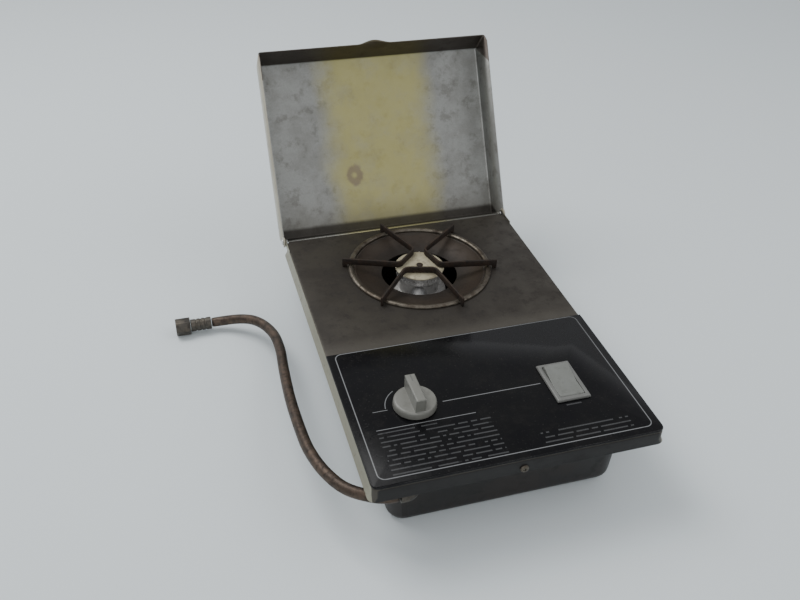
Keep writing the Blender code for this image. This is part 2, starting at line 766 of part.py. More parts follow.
def hinge_pins(shop, material):
    """Headed pins, fixed to the deck's tabs, on which the lid's ears turn. Both are drawn along +Z, head up."""
    tab_inner = HALF_WIDTH - 0.15 * SHEET - HINGE_TAB_THICKNESS
    ear_outer = HALF_WIDTH + EAR_STANDOFF + EAR_THICKNESS
    head_foot = ear_outer + GAP
    tail_top = tab_inner - GAP
    profile = (
        (0.0, head_foot + HINGE_PIN_HEAD_HEIGHT),
        (0.6 * HINGE_PIN_HEAD, head_foot + 0.9 * HINGE_PIN_HEAD_HEIGHT),
        (0.92 * HINGE_PIN_HEAD, head_foot + 0.5 * HINGE_PIN_HEAD_HEIGHT),
        (HINGE_PIN_HEAD, head_foot),
        (HINGE_PIN_RADIUS, head_foot),
        (HINGE_PIN_RADIUS, tail_top),
        (0.75 * HINGE_PIN_HEAD, tail_top),
        (0.7 * HINGE_PIN_HEAD, tail_top - 0.6 * HINGE_PIN_HEAD_HEIGHT),
        (0.0, tail_top - 0.8 * HINGE_PIN_HEAD_HEIGHT),
    )
    for side, label in ((-1, "left"), (1, "right")):
        turn = (0.0, side * math.radians(90), 0.0)
        shop.turned(f"hinge_pin_{label}", profile, material, (0.0, HINGE_Y, HINGE_Z), turn, steps=16)


def lid_stop(shop, material):
    """The angle behind the rear skirt that the open lid's rear wall rests on."""
    back = HALF_DEPTH + GAP
    top = DECK_TOP - STOP_BELOW_TOP
    bm = bmesh.new()
    line = [(back, top - STOP_LEG), (back, top), (HALF_DEPTH + STOP_REACH, top)]
    verts = [bm.verts.new((-STOP_WIDTH / 2, y, z)) for y, z in line]
    strip = [bm.edges.new(pair) for pair in zip(verts, verts[1:])]
    made = bmesh.ops.extrude_edge_only(bm, edges=strip)["geom"]
    moved = [item for item in made if isinstance(item, bmesh.types.BMVert)]
    bmesh.ops.translate(bm, verts=moved, vec=(STOP_WIDTH, 0.0, 0.0))
    bmesh.ops.recalc_face_normals(bm, faces=bm.faces)
    bm.normal_update()
    shelf = max(bm.faces, key=lambda face: face.calc_center_median().y)
    if shelf.normal.z < 0:
        bmesh.ops.reverse_faces(bm, faces=bm.faces)
    angle = shop.solid("lid_stop", bm, material)
    thicken(angle, STOP_SHEET, -1)
    return angle


# --- Burner and grate ---------------------------------------------------------------------------------------


def burner(shop, aluminium, cream, steel):
    """The burner's cup with its ring of ports, the cap over it and the cap's screw."""
    top = DECK_TOP - GAP
    ring_foot = top - PORT_RING_HEIGHT
    flange_top = BURNER_FOOT_Z + FLANGE_HEIGHT
    cup_floor = ring_foot - 0.004
    boss = CAP_SCREW_SHANK + 0.003
    profile = (
        (CAP_SCREW_SHANK + GAP, top),
        (CAP_SCREW_SHANK + GAP, cup_floor - 0.003),
        (0.0, cup_floor - 0.003),
    )
    outer = (
        (PORT_RING_RADIUS - BURNER_WALL, cup_floor),
        (PORT_RING_RADIUS - BURNER_WALL, top),
        (PORT_RING_RADIUS - 0.0006, top),
        (PORT_RING_RADIUS, top - 0.0006),
        (PORT_RING_RADIUS, ring_foot),
        (NECK_RADIUS + NECK_FILLET, ring_foot - NECK_FILLET),
        (NECK_RADIUS, flange_top),
        (FLANGE_RADIUS - 0.0006, flange_top),
        (FLANGE_RADIUS, flange_top - 0.0006),
        (FLANGE_RADIUS, BURNER_FOOT_Z),
        (0.0, BURNER_FOOT_Z),
    )
    section = tuple(reversed(profile)) + ((boss, top), (boss, cup_floor)) + outer
    body = shop.turned("burner_body", section, aluminium, (0.0, BURNER_Y, 0.0), steps=40)
    port_z = top - 0.0015
    for number in range(PORT_COUNT):
        turn = Matrix.Rotation(2 * math.pi * (number + 0.5) / PORT_COUNT, 4, "Z")
        port = box(
            (PORT_RING_RADIUS - 1.2 * BURNER_WALL, -PORT_WIDTH / 2, port_z - PORT_HEIGHT),
            (PORT_RING_RADIUS + BURNER_WALL, PORT_WIDTH / 2, port_z),
        )
        bmesh.ops.transform(port, matrix=turn, verts=port.verts)
        shop.cut(body, f"port_{number + 1}", port)
    cap_profile = (
        (CAP_SCREW_SHANK + GAP, CAP_HEIGHT),
        (0.82 * CAP_RADIUS, CAP_HEIGHT),
        (0.94 * CAP_RADIUS, 0.86 * CAP_HEIGHT),
        (CAP_RADIUS, 0.5 * CAP_HEIGHT),
        (CAP_RADIUS, 0.0),
        (CAP_SCREW_SHANK + GAP, 0.0),
    )
    shop.turned("burner_cap", cap_profile, cream, (0.0, BURNER_Y, DECK_TOP), steps=48, closed=True)
    screw_profile = (
        (0.0, GAP + 0.0012),
        (0.7 * CAP_SCREW_HEAD, GAP + 0.001),
        (CAP_SCREW_HEAD, GAP),
        (CAP_SCREW_SHANK, GAP),
        (CAP_SCREW_SHANK, -CAP_HEIGHT - 0.008),
        (0.0, -CAP_HEIGHT - 0.008),
    )
    shop.turned("burner_cap_screw", screw_profile, steel, (0.0, BURNER_Y, DECK_TOP + CAP_HEIGHT), steps=20)


def grate_ring(shop, material):
    """The half-round ring that lies on the deck round the well."""
    half = RING_WIDTH / 2
    arc = [math.pi * step / 4 for step in range(1, 4)]
    crest = [(RING_RADIUS - half * math.cos(a), RING_HEIGHT * (0.25 + 0.75 * math.sin(a))) for a in arc]
    profile = [(RING_RADIUS - half, 0.0), (RING_RADIUS - half, 0.25 * RING_HEIGHT)] + crest
    profile += [(RING_RADIUS + half, 0.25 * RING_HEIGHT), (RING_RADIUS + half, 0.0)]
    shop.turned("grate_ring", profile, material, (0.0, BURNER_Y, RING_FOOT), steps=48, closed=True)


def bar_path():
    """Plan of one bar, pointing along +X: an arm in, a rounded bend, the nose, a bend and an arm out."""
    nose = BAR_NOSE_WIDTH / 2
    tip = Vector((BAR_REACH * math.cos(BAR_SPREAD), BAR_REACH * math.sin(BAR_SPREAD)))
    corner = Vector((BAR_NOSE_OUT, nose))
    along_arm = (tip - corner).normalized()
    half = [tip, tip - along_arm * BAR_FOOT_LENGTH]
    start = corner + along_arm * BAR_BEND
    end = corner - Vector((0.0, 1.0)) * BAR_BEND
    for step in range(5):
        t = step / 4
        half.append((1 - t) ** 2 * start + 2 * t * (1 - t) * corner + t**2 * end)
    return half + [Vector((point.x, -point.y)) for point in reversed(half)]


def grate_bars(shop, material):
    """Three upright strips bent to a flat-nosed V. Each stands on the deck with a foot at both ends."""
    path = bar_path()
    foot_count = 2
    for number in range(BAR_COUNT):
        bm = bmesh.new()
        verts = [bm.verts.new((point.x, point.y, 0.0)) for point in path]
        strip = [bm.edges.new(pair) for pair in zip(verts, verts[1:])]
        made = bmesh.ops.extrude_edge_only(bm, edges=strip)["geom"]
        moved = [item for item in made if isinstance(item, bmesh.types.BMVert)]
        bmesh.ops.translate(bm, verts=moved, vec=(0.0, 0.0, BAR_HEIGHT))
        drop = BAR_FOOT - RING_FOOT
        feet = verts[:foot_count], verts[-foot_count:]
        for pair in feet:
            edge = bm.edges.get(pair)
            made = bmesh.ops.extrude_edge_only(bm, edges=[edge])["geom"]
            moved = [item for item in made if isinstance(item, bmesh.types.BMVert)]
            bmesh.ops.translate(bm, verts=moved, vec=(0.0, 0.0, -drop))
        bmesh.ops.recalc_face_normals(bm, faces=bm.faces)
        turn = BAR_FIRST_ANGLE + number * 2 * math.pi / BAR_COUNT
        at = (0.0, BURNER_Y, BAR_FOOT)
        bar = shop.solid(f"grate_bar_{number + 1}", bm, material, at, (0.0, 0.0, turn))
        thicken(bar, BAR_THICKNESS, 0)


def electrode(shop, ceramic, steel, rubber):
    """The spark electrode behind the burner, and the lead that feeds it."""
    away = Vector((math.cos(ELECTRODE_ANGLE), math.sin(ELECTRODE_ANGLE), 0.0))
    centre = Vector((0.0, BURNER_Y, 0.0))
    foot = BURNER_FOOT_Z
    r = ELECTRODE_RADIUS
    profile = (
        (0.0, ELECTRODE_TOP),
        (0.6 * r, ELECTRODE_TOP),
        (0.75 * r, ELECTRODE_TOP - 0.0008),
        (0.75 * r, ELECTRODE_TOP - 0.010),
        (r, ELECTRODE_TOP - 0.011),
        (r, foot),
        (0.0, foot),
    )
    at = centre + away * ELECTRODE_OUT
    shop.turned("electrode_ceramic", profile, ceramic, at, steps=24)
    base = at + Vector((0.0, 0.0, ELECTRODE_TOP + GAP))
    inward = away * (ELECTRODE_TIP_OUT - ELECTRODE_OUT)
    rise = 0.0045
    route = (
        base,
        base + Vector((0, 0, 0.6 * rise)),
        base + 0.35 * inward + Vector((0, 0, rise)),
        base + inward + Vector((0, 0, 1.15 * rise)),
    )
    shop.tube("electrode_wire", route, ELECTRODE_WIRE, steel, 2)
    shop.tube("igniter_lead", through(LEAD_ROUTE, 0.022), LEAD_RADIUS, rubber, 2)


# --- Valve, gas line and knob -------------------------------------------------------------------------------


def hat_bracket(shop, name, centre, span, width, top, yaw, material):
    """A strip that stands on the tub's floor: two legs, a flat top and feet turned inward."""
    foot_z = SHEET + GAP + BRACKET_SHEET
    half = span / 2
    line = [(half - BRACKET_FOOT, foot_z), (half, foot_z), (half, top)]
    line += [(-y, z) for y, z in reversed(line)]
    bm = bmesh.new()
    verts = [bm.verts.new((-width / 2, y, z)) for y, z in line]
    strip = [bm.edges.new(pair) for pair in zip(verts, verts[1:])]
    made = bmesh.ops.extrude_edge_only(bm, edges=strip)["geom"]
    moved = [item for item in made if isinstance(item, bmesh.types.BMVert)]
    bmesh.ops.translate(bm, verts=moved, vec=(width, 0.0, 0.0))
    bmesh.ops.recalc_face_normals(bm, faces=bm.faces)
    bm.normal_update()
    shelf = max(bm.faces, key=lambda face: face.calc_center_median().z)
    if shelf.normal.z < 0:
        bmesh.ops.reverse_faces(bm, faces=bm.faces)
    bracket = shop.solid(name, bm, material, centre, (0.0, 0.0, yaw))
    thicken(bracket, BRACKET_SHEET, -1)


def valve(shop, brass, steel):
    """The gas valve under the deck with its nut, its jet and the tube that mixes gas with air."""
    centre = Vector((KNOB_X, KNOB_Y, 0.0))
    half = VALVE_SIDE / 2
    top = VALVE_FOOT_Z + VALVE_HEIGHT
    bm = box((-half, -half, VALVE_FOOT_Z), (half, half, top))
    round_off(bm, upright_edges(bm), 0.003, 3)
    body = shop.solid("valve_body", bm, brass, centre, (0.0, 0.0, GAS_YAW))
    bore = rod((0, 0, top - STEM_IN_VALVE - GAP), (0, 0, top + 0.01), STEM_RADIUS + BORE_CLEARANCE)
    shop.cut(body, "stem_bore", bore)
    nut_foot = top + GAP
    nut = shop.solid(
        "valve_nut",
        hexagon((0, 0, nut_foot), (0, 0, nut_foot + VALVE_NUT_HEIGHT), VALVE_NUT_RADIUS),
        steel,
        centre,
    )
    shop.cut(nut, "hole", rod((0, 0, nut_foot - 0.01), (0, 0, nut_foot + 0.02), STEM_RADIUS + 2 * GAP))
    aim = (math.radians(-90), 0.0, GAS_YAW)
    line = centre + Vector((0.0, 0.0, GAS_LINE_Z))
    jet = (
        (0.0, JET_LENGTH),
        (0.25 * JET_RADIUS, JET_LENGTH),
        (0.6 * JET_RADIUS, 0.75 * JET_LENGTH),
        (JET_RADIUS, 0.6 * JET_LENGTH),
        (JET_RADIUS, 0.0),
        (0.0, 0.0),
    )
    shop.turned("gas_jet", jet, brass, line + GAS_AIM * (half + GAP), aim, steps=24)
    start = half + GAP + JET_LENGTH + JET_AIR_GAP
    distance = (Vector((0.0, BURNER_Y, 0.0)) - centre).length
    length = distance - NECK_RADIUS - NECK_FILLET - GAP - start
    wall = 0.0012
    outer = (
        (MIXING_END, length),
        (MIXING_END, 0.45 * length),
        (MIXING_THROAT + wall, 0.18 * length),
        (MIXING_MOUTH + wall, 0.0),
    )
    inner = (
        (MIXING_MOUTH, 0.0),
        (MIXING_THROAT, 0.18 * length),
        (MIXING_END - wall, 0.45 * length),
        (MIXING_END - wall, length),
    )
    shop.turned("mixing_tube", outer + inner, steel, line + GAS_AIM * start, aim, steps=20, closed=True)


def knob(shop, plastic, steel):
    """The knob with its grip, and the stem that it turns. Both have their origin on the stem's axis."""
    top = KNOB_BASE_HEIGHT
    profile = (
        (0.0, top),
        (0.86 * KNOB_RADIUS, top),
        (0.95 * KNOB_RADIUS, 0.92 * top),
        (0.985 * KNOB_RADIUS, 0.72 * top),
        (KNOB_RADIUS, 0.0),
        (0.0, 0.0),
    )
    at = (KNOB_X, KNOB_Y, KNOB_FOOT)
    handle = shop.turned("knob", profile, plastic, at, steps=40)
    sunk = 0.25 * top
    grip = box(
        (-GRIP_WIDTH / 2, -GRIP_LENGTH / 2 + 0.001, top - sunk),
        (GRIP_WIDTH / 2, GRIP_LENGTH / 2 - 0.001, top + GRIP_HEIGHT),
    )
    for vert in grip.verts:
        if vert.co.z > top:
            vert.co.x *= 0.92
        else:
            vert.co.y *= 0.94
    round_off(grip, edges_where(grip, lambda co: co.z > top), 0.0016, 3)
    shop.join(handle, "grip", grip)
    shop.cut(handle, "stem_bore", rod((0, 0, -0.01), (0, 0, STEM_IN_KNOB + GAP), STEM_RADIUS + BORE_CLEARANCE))
    stem_foot = VALVE_FOOT_Z + VALVE_HEIGHT - STEM_IN_VALVE
    stem_top = KNOB_FOOT + STEM_IN_KNOB
    stem = ((0.0, stem_top), (STEM_RADIUS, stem_top), (STEM_RADIUS, stem_foot), (0.0, stem_foot))
    shop.turned("valve_stem", stem, steel, (KNOB_X, KNOB_Y, 0.0), steps=32)


def gas_inlet(shop, brass, steel, copper):
    """The elbow through the tub's front wall with its nut, and the tube inside that feeds the valve."""
    wall = -TUB_HALF_Y
    out_y = wall - INLET_STANDOFF
    bend_start = out_y + INLET_BEND
    points = [Vector((INLET_X, wall + INLET_INSIDE, INLET_Z)), Vector((INLET_X, bend_start + 0.003, INLET_Z))]
    centre = Vector((INLET_X - INLET_BEND, bend_start, INLET_Z))
    for step in range(9):
        angle = math.pi / 2 * step / 8
        points.append(centre + INLET_BEND * Vector((math.cos(angle), -math.sin(angle), 0.0)))
    points.append(INLET_MOUTH + Vector((GAP, 0.0, 0.0)))
    shop.tube("inlet_elbow", points, INLET_RADIUS, brass, 5)
    nut_back = wall - 2 * GAP
    nut = shop.solid(
        "inlet_nut",
        hexagon((INLET_X, nut_back, INLET_Z), (INLET_X, nut_back - INLET_NUT_HEIGHT, INLET_Z), INLET_NUT_RADIUS),
        steel,
    )
    hole = rod((INLET_X, nut_back + 0.01, INLET_Z), (INLET_X, nut_back - 0.02, INLET_Z), INLET_RADIUS + GAP)
    shop.cut(nut, "hole", hole)
    valve_centre = Vector((KNOB_X, KNOB_Y, GAS_LINE_Z))
    end = valve_centre - GAS_AIM * (VALVE_SIDE / 2 + 2 * GAP)
    start = Vector((INLET_X, wall + INLET_INSIDE + GAP, INLET_Z))
    straight = SUPPLY_RADIUS * 1.5
    run_in = Vector((0.0, straight, 0.0))
    run_out = GAS_AIM * straight
    route = (start, start + run_in / 2, start + run_in, end - run_out, end - run_out / 2, end)
    shop.tube("supply_tube", through(route, 0.006), SUPPLY_RADIUS, copper, 2)


def gas_pipe(shop, copper, brass, steel):
    """The rigid pipe, the sleeve on its end and the flare nut that turns on it."""
    shop.tube("gas_pipe", through(PIPE_ROUTE, PIPE_SPACING), PIPE_RADIUS, copper, 4)
    end = PIPE_ROUTE[-1]
    along = (0.0, math.radians(-90), 0.0)
    edge = 0.0008
    sleeve = (
        (0.0, SLEEVE_LENGTH),
        (SLEEVE_RADIUS - edge, SLEEVE_LENGTH),
        (SLEEVE_RADIUS, SLEEVE_LENGTH - edge),
        (SLEEVE_RADIUS, edge),
        (SLEEVE_RADIUS - edge, 0.0),
        (0.0, 0.0),
    )
    shop.turned("pipe_sleeve", sleeve, brass, end - Vector((GAP, 0, 0)), along, steps=32)
    nut_at = end - Vector((2 * GAP + SLEEVE_LENGTH, 0, 0))
    bm = hexagon((0, 0, 0), (0, 0, NUT_LENGTH), NUT_RADIUS)
    nut = shop.solid("flare_nut", bm, steel, nut_at, along)
    flats = NUT_RADIUS * math.cos(math.pi / 6)
    cone = NUT_RADIUS - flats + NUT_CHAMFER
    form = shop.helper("flare_nut_turned_ends", profile_mesh("flare_nut_turned_ends", turned_ends(cone), False))
    lathe(form, 48)
    shop.match(nut, form)
    boolean(nut, "turned_ends", form, "INTERSECT")
    shop.cut(nut, "bore", rod((0, 0, NUT_LENGTH - NUT_BORE_DEPTH), (0, 0, NUT_LENGTH + 0.01), NUT_BORE, 32))


def turned_ends(cone):
    """Section that chamfers the hexagon's corners at both ends."""
    wide = NUT_RADIUS + 0.0004
    slope = 0.5
    return (
        (0.0, NUT_LENGTH + 0.001),
        (wide - cone, NUT_LENGTH + 0.001),
        (wide, NUT_LENGTH - slope * cone),
        (wide, slope * cone),
        (wide - cone, -0.001),
        (0.0, -0.001),
    )


# --- Igniter ------------------------------------------------------------------------------------------------


def igniter_bezel(shop, material):
    """The frame on the fascia, with the sleeve below it that the rocker swings in."""
    half_x = BEZEL_WIDTH / 2
    half_y = BEZEL_DEPTH / 2
    top = BEZEL_FOOT + BEZEL_HEIGHT
    bm = box((-half_x, -half_y, BEZEL_FOOT), (half_x, half_y, top))
    round_off(bm, edges_where(bm, lambda co: co.z > top - 1e-6), BEZEL_BEVEL, 3)
    frame = shop.solid("igniter_bezel", bm, material, (ROCKER_X, ROCKER_Y, 0.0))
    half_x = SLEEVE_WIDTH / 2
    half_y = SLEEVE_DEPTH / 2
    shop.join(frame, "sleeve", box((-half_x, -half_y, SLEEVE_FOOT), (half_x, half_y, BEZEL_FOOT + 0.001)))
    half_x -= SLEEVE_WALL
    half_y -= SLEEVE_WALL
    shop.cut(frame, "inside", box((-half_x, -half_y, SLEEVE_FOOT - 0.01), (half_x, half_y, top + 0.01)))
    pin_z = ROCKER_PIVOT_Z
    pin = rod((-BEZEL_WIDTH, 0, pin_z), (BEZEL_WIDTH, 0, pin_z), ROCKER_PIN_RADIUS + 2 * BORE_CLEARANCE, 24)
    shop.cut(frame, "pin_hole", pin)
    smooth(frame)


def rocker_outline():
    """Side view of the rocker, (back, up) from its pivot: its rear half stands up at rest."""
    half = SLEEVE_DEPTH / 2 - SLEEVE_WALL
    level = BEZEL_FOOT + BEZEL_HEIGHT - ROCKER_PIVOT_Z
    return (
        (-half + 0.0016, -0.002),
        (half - 0.0014, -0.002),
        (half - 0.0018, 0.005),
        (half - 0.0028, level + 0.0040),
        (half - 0.0040, level + 0.0044),
        (-0.004, level - 0.0008),
        (-half + 0.0022, level - 0.0002),
        (-half + 0.0010, level - 0.0012),
    )


def rocker(shop, plastic, steel):
    """The rocker, with its origin on its pivot, and the pin that it swings on."""
    half_x = SLEEVE_WIDTH / 2 - SLEEVE_WALL - ROCKER_SIDE_CLEARANCE
    outline = bpy.data.curves.new("igniter_rocker_outline", "CURVE")
    outline.dimensions = "2D"
    outline.fill_mode = "BOTH"
    outline.extrude = half_x
    spline = outline.splines.new("POLY")
    points = rocker_outline()
    spline.points.add(len(points) - 1)
    for place, (back, up) in zip(spline.points, points):
        place.co = (back, up, 0.0, 1.0)
    spline.use_cyclic_u = True
    sketch = bpy.data.objects.new("igniter_rocker_outline", outline)
    shop.helpers.objects.link(sketch)
    bpy.context.view_layer.update()
    graph = bpy.context.evaluated_depsgraph_get()
    mesh = bpy.data.meshes.new_from_object(sketch.evaluated_get(graph))
    bpy.data.objects.remove(sketch)
    bm = bmesh.new()
    bm.from_mesh(mesh)
    bpy.data.meshes.remove(mesh)
    bmesh.ops.remove_doubles(bm, verts=bm.verts, dist=1e-6)
    stand_up = Matrix(((0, 0, 1, 0), (1, 0, 0, 0), (0, 1, 0, 0), (0, 0, 0, 1)))
    bmesh.ops.transform(bm, matrix=stand_up, verts=bm.verts)
    bmesh.ops.recalc_face_normals(bm, faces=bm.faces)
    pad = shop.solid("igniter_rocker", bm, plastic, (ROCKER_X, ROCKER_Y, ROCKER_PIVOT_Z))
    hole = rod((-BEZEL_WIDTH, 0, 0), (BEZEL_WIDTH, 0, 0), ROCKER_PIN_RADIUS + BORE_CLEARANCE, 24)
    shop.cut(pad, "pin_hole", hole)
    length = SLEEVE_WIDTH / 2 - GAP
    pin = (
        (0.0, length),
        (ROCKER_PIN_RADIUS, length),
        (ROCKER_PIN_RADIUS, -length),
        (0.0, -length),
    )
    at = (ROCKER_X, ROCKER_Y, ROCKER_PIVOT_Z)
    shop.turned("igniter_rocker_pin", pin, steel, at, (0.0, math.radians(90), 0.0), steps=24)


def piezo(shop, plastic, steel):
    """The spark unit under the rocker, and the plunger that the rocker pushes down."""
    plate_top = SLEEVE_FOOT - GAP
    plate_foot = plate_top - PIEZO_PLATE
    y = ROCKER_Y + PLUNGER_OFFSET
    half_x = SLEEVE_WIDTH / 2
    half_y = SLEEVE_DEPTH / 2
    bm = box(
        (-half_x, -half_y - PLUNGER_OFFSET, plate_foot),
        (half_x, half_y - PLUNGER_OFFSET, plate_top),
    )
    unit = shop.solid("piezo_body", bm, plastic, (ROCKER_X, y, 0.0))
    shop.join(unit, "barrel", rod((0, 0, plate_foot - PIEZO_LENGTH), (0, 0, plate_top - 0.0005), PIEZO_RADIUS))
    plunger_foot = plate_foot - 0.016
    bore_foot = plunger_foot - 0.004
    shop.cut(unit, "bore", rod((0, 0, bore_foot), (0, 0, plate_top + 0.01), PLUNGER_RADIUS + BORE_CLEARANCE))
    plunger_top = ROCKER_PIVOT_Z - 0.002 - GAP
    profile = (
        (0.0, plunger_top),
        (PLUNGER_CROWN_RADIUS, plunger_top),
        (PLUNGER_RADIUS, plunger_top - PLUNGER_CROWN),
        (PLUNGER_RADIUS, plunger_foot),
        (0.0, plunger_foot),
    )
    shop.turned("piezo_plunger", profile, steel, (ROCKER_X, y, 0.0), steps=32)


def main():
    clear_scene()
    shop = Workshop()
    sooty = finish("worn_deck_steel", (0.17, 0.14, 0.12), 0.55, 0.8)
    brown = finish("dark_enamel", (0.07, 0.05, 0.045), 0.45, 0.1)
    black = finish("gloss_black_fascia", (0.02, 0.02, 0.02), 0.2, 0.0)
    stainless = finish("dull_sheet", (0.45, 0.43, 0.38), 0.45, 0.9)
    rust = finish("rusty_bar_steel", (0.12, 0.07, 0.045), 0.7, 0.6)
    worn = finish("worn_ring_steel", (0.40, 0.34, 0.27), 0.45, 0.9)
    aluminium = finish("cast_aluminium", (0.48, 0.47, 0.45), 0.5, 0.9)
    cream = finish("cream_cap", (0.50, 0.46, 0.38), 0.6, 0.2)
    grey = finish("grey_plastic", (0.62, 0.63, 0.62), 0.35, 0.0)
    steel = finish("plated_steel", (0.60, 0.60, 0.60), 0.35, 1.0)
    brass = finish("brass", (0.55, 0.42, 0.20), 0.35, 1.0)
    copper = finish("tarnished_copper", (0.22, 0.13, 0.09), 0.45, 0.9)
    ceramic = finish("white_ceramic", (0.80, 0.79, 0.75), 0.35, 0.0)
    rubber = finish("black_rubber", (0.03, 0.03, 0.03), 0.7, 0.0)
    dark_plastic = finish("black_plastic", (0.04, 0.04, 0.04), 0.5, 0.0)

    deck_plate(shop, sooty)
    tub(shop, brown, steel)
    control_fascia(shop, black)
    front_screw(shop, steel)
    lid(shop, stainless)
    hinge_pins(shop, steel)
    lid_stop(shop, steel)
    burner(shop, aluminium, cream, steel)
    grate_ring(shop, worn)
    grate_bars(shop, rust)
    electrode(shop, ceramic, steel, rubber)
    burner_centre = (0.0, BURNER_Y, 0.0)
    hat_bracket(
        shop,
        "burner_bracket",
        burner_centre,
        BURNER_BRACKET_SPAN,
        BURNER_BRACKET_WIDTH,
        BURNER_FOOT_Z - GAP,
        0.0,
        steel,
    )
    hat_bracket(
        shop,
        "valve_bracket",
        (KNOB_X, KNOB_Y, 0.0),
        VALVE_BRACKET_SPAN,
        VALVE_BRACKET_WIDTH,
        VALVE_FOOT_Z - GAP,
        math.radians(90),
        steel,
    )
    valve(shop, brass, steel)
    knob(shop, grey, steel)
    gas_inlet(shop, brass, steel, copper)
    gas_pipe(shop, copper, brass, steel)
    igniter_bezel(shop, grey)
    rocker(shop, grey, steel)
    piezo(shop, dark_plastic, steel)


main()
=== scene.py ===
"""Looks of a single-burner camping stove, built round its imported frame.

The deck, the tub, the fascia, the rocker and the small fittings are softened copies of the frame's own
nodes, in worked finishes. The lid, the grate, the burner, the knob and the gas line are modelled again here
in finer detail.
"""

from __future__ import annotations

import json
import logging
import math
from dataclasses import dataclass
from enum import Enum
from typing import Callable, Iterable, Sequence

import bmesh
import bpy
from mathutils import Matrix, Vector


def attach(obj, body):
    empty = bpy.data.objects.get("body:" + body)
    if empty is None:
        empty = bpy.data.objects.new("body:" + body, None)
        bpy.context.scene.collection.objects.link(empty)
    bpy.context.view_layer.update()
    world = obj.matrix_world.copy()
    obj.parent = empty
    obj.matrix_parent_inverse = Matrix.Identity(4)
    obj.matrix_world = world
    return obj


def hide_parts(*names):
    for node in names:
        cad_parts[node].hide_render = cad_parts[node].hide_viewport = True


log = logging.getLogger("camping_stove")

Colour = tuple[float, float, float]
Span = tuple[float, float]


class Body(Enum):
    """The frame's moving groups."""

    STOVE = "stove"
    LID = "lid"
    KNOB = "knob"
    ROCKER = "igniter_rocker"
    PLUNGER = "piezo_plunger"
    NUT = "flare_nut"
    GRATE = "grate"


# ---------------------------------------------------------------------------------------------- shader graphs


class Graph:
    """Short calls that add nodes to one shader tree."""

    def __init__(self, tree: bpy.types.NodeTree) -> None:
        """Starts on a tree.

        Args:
            tree: The material's or the group's node tree.
        """
        self.tree = tree

    def node(self, kind: str, **settings: object) -> bpy.types.Node:
        """Adds a node and sets its properties.

        Args:
            kind: The node's type name.
            **settings: Properties of the node.

        Returns:
            The new node.
        """
        made = self.tree.nodes.new(kind)
        for name, value in settings.items():
            setattr(made, name, value)
        return made

    def feed(self, socket: bpy.types.NodeSocket, value: object) -> None:
        """Links an output to a socket, or sets the socket's own value.

        Args:
            socket: The input to feed.
            value: An output socket, a number, or a colour or vector.
        """
        if isinstance(value, bpy.types.NodeSocket):
            self.tree.links.new(value, socket)
        elif isinstance(value, (tuple, list)) and len(value) == 3 and socket.type == "RGBA":
            socket.default_value = (*value, 1.0)
        else:
            socket.default_value = value

    def math(self, operation: str, a: object, b: object = 0.0, clamp: bool = False) -> bpy.types.NodeSocket:
        """A Math node.

        Args:
            operation: The node's operation.
            a: First operand.
            b: Second operand.
            clamp: Whether the result is kept between 0 and 1.

        Returns:
            The node's value.
        """
        made = self.node("ShaderNodeMath", operation=operation, use_clamp=clamp)
        self.feed(made.inputs[0], a)
        self.feed(made.inputs[1], b)
        return made.outputs[0]

    def mix(self, factor: object, a: object, b: object, blend: str = "MIX") -> bpy.types.NodeSocket:
        """Mixes two colours.

        Args:
            factor: How much of b.
            a: First colour.
            b: Second colour.
            blend: The blend type.

        Returns:
            The mixed colour.
        """
        made = self.node("ShaderNodeMix", data_type="RGBA", blend_type=blend)
        self.feed(made.inputs[0], factor)
        self.feed(made.inputs[6], a)
        self.feed(made.inputs[7], b)
        return made.outputs[2]

    def step(
        self, value: object, low: object, high: object, a: float = 0.0, b: float = 1.0
    ) -> bpy.types.NodeSocket:
        """A smooth step from a to b as the value goes from low to high.

        Args:
            value: The value read.
            low: Where the step starts.
            high: Where the step ends.
            a: Result below the step.
            b: Result above the step.

        Returns:
            The stepped value.
        """
        made = self.node("ShaderNodeMapRange", interpolation_type="SMOOTHSTEP", clamp=True)
        for socket, number in zip(made.inputs[:5], (value, low, high, a, b)):
            self.feed(socket, number)
        return made.outputs[0]

    def noise(
        self, vector: object, scale: object, detail: float = 4.0, rough: float = 0.55
    ) -> bpy.types.NodeSocket:
        """A noise texture's value.

        Args:
            vector: Where it is read.
            scale: Its scale.
            detail: Its number of octaves.
            rough: How strong the finer octaves are.

        Returns:
            The noise value.
        """
        made = self.node("ShaderNodeTexNoise")
        self.feed(made.inputs["Vector"], vector)
        self.feed(made.inputs["Scale"], scale)
        self.feed(made.inputs["Detail"], detail)
        self.feed(made.inputs["Roughness"], rough)
        return made.outputs[0]

    def place(self) -> bpy.types.NodeSocket:
        """Returns the object coordinates."""
        return self.node("ShaderNodeTexCoord").outputs["Object"]

    def axes(self, vector: object) -> tuple[bpy.types.NodeSocket, ...]:
        """The three numbers of a vector.

        Args:
            vector: The vector to split.

        Returns:
            Its X, Y and Z.
        """
        made = self.node("ShaderNodeSeparateXYZ")
        self.feed(made.inputs[0], vector)
        return tuple(made.outputs)

    def join(self, x: object, y: object, z: object = 0.0) -> bpy.types.NodeSocket:
        """A vector from three numbers.

        Args:
            x: First number.
            y: Second number.
            z: Third number.

        Returns:
            The vector.
        """
        made = self.node("ShaderNodeCombineXYZ")
        for socket, number in zip(made.inputs, (x, y, z)):
            self.feed(socket, number)
        return made.outputs[0]

    def band(self, value: object, low: float, high: float, soft: float) -> bpy.types.NodeSocket:
        """1 between low and high, 0 outside, with soft ends.

        Args:
            value: The value read.
            low: The band's lower edge.
            high: The band's upper edge.
            soft: Width of each edge.

        Returns:
            The mask.
        """
        rising = self.step(value, low - soft, low + soft)
        falling = self.step(value, high - soft, high + soft, 1.0, 0.0)
        return self.math("MULTIPLY", rising, falling)


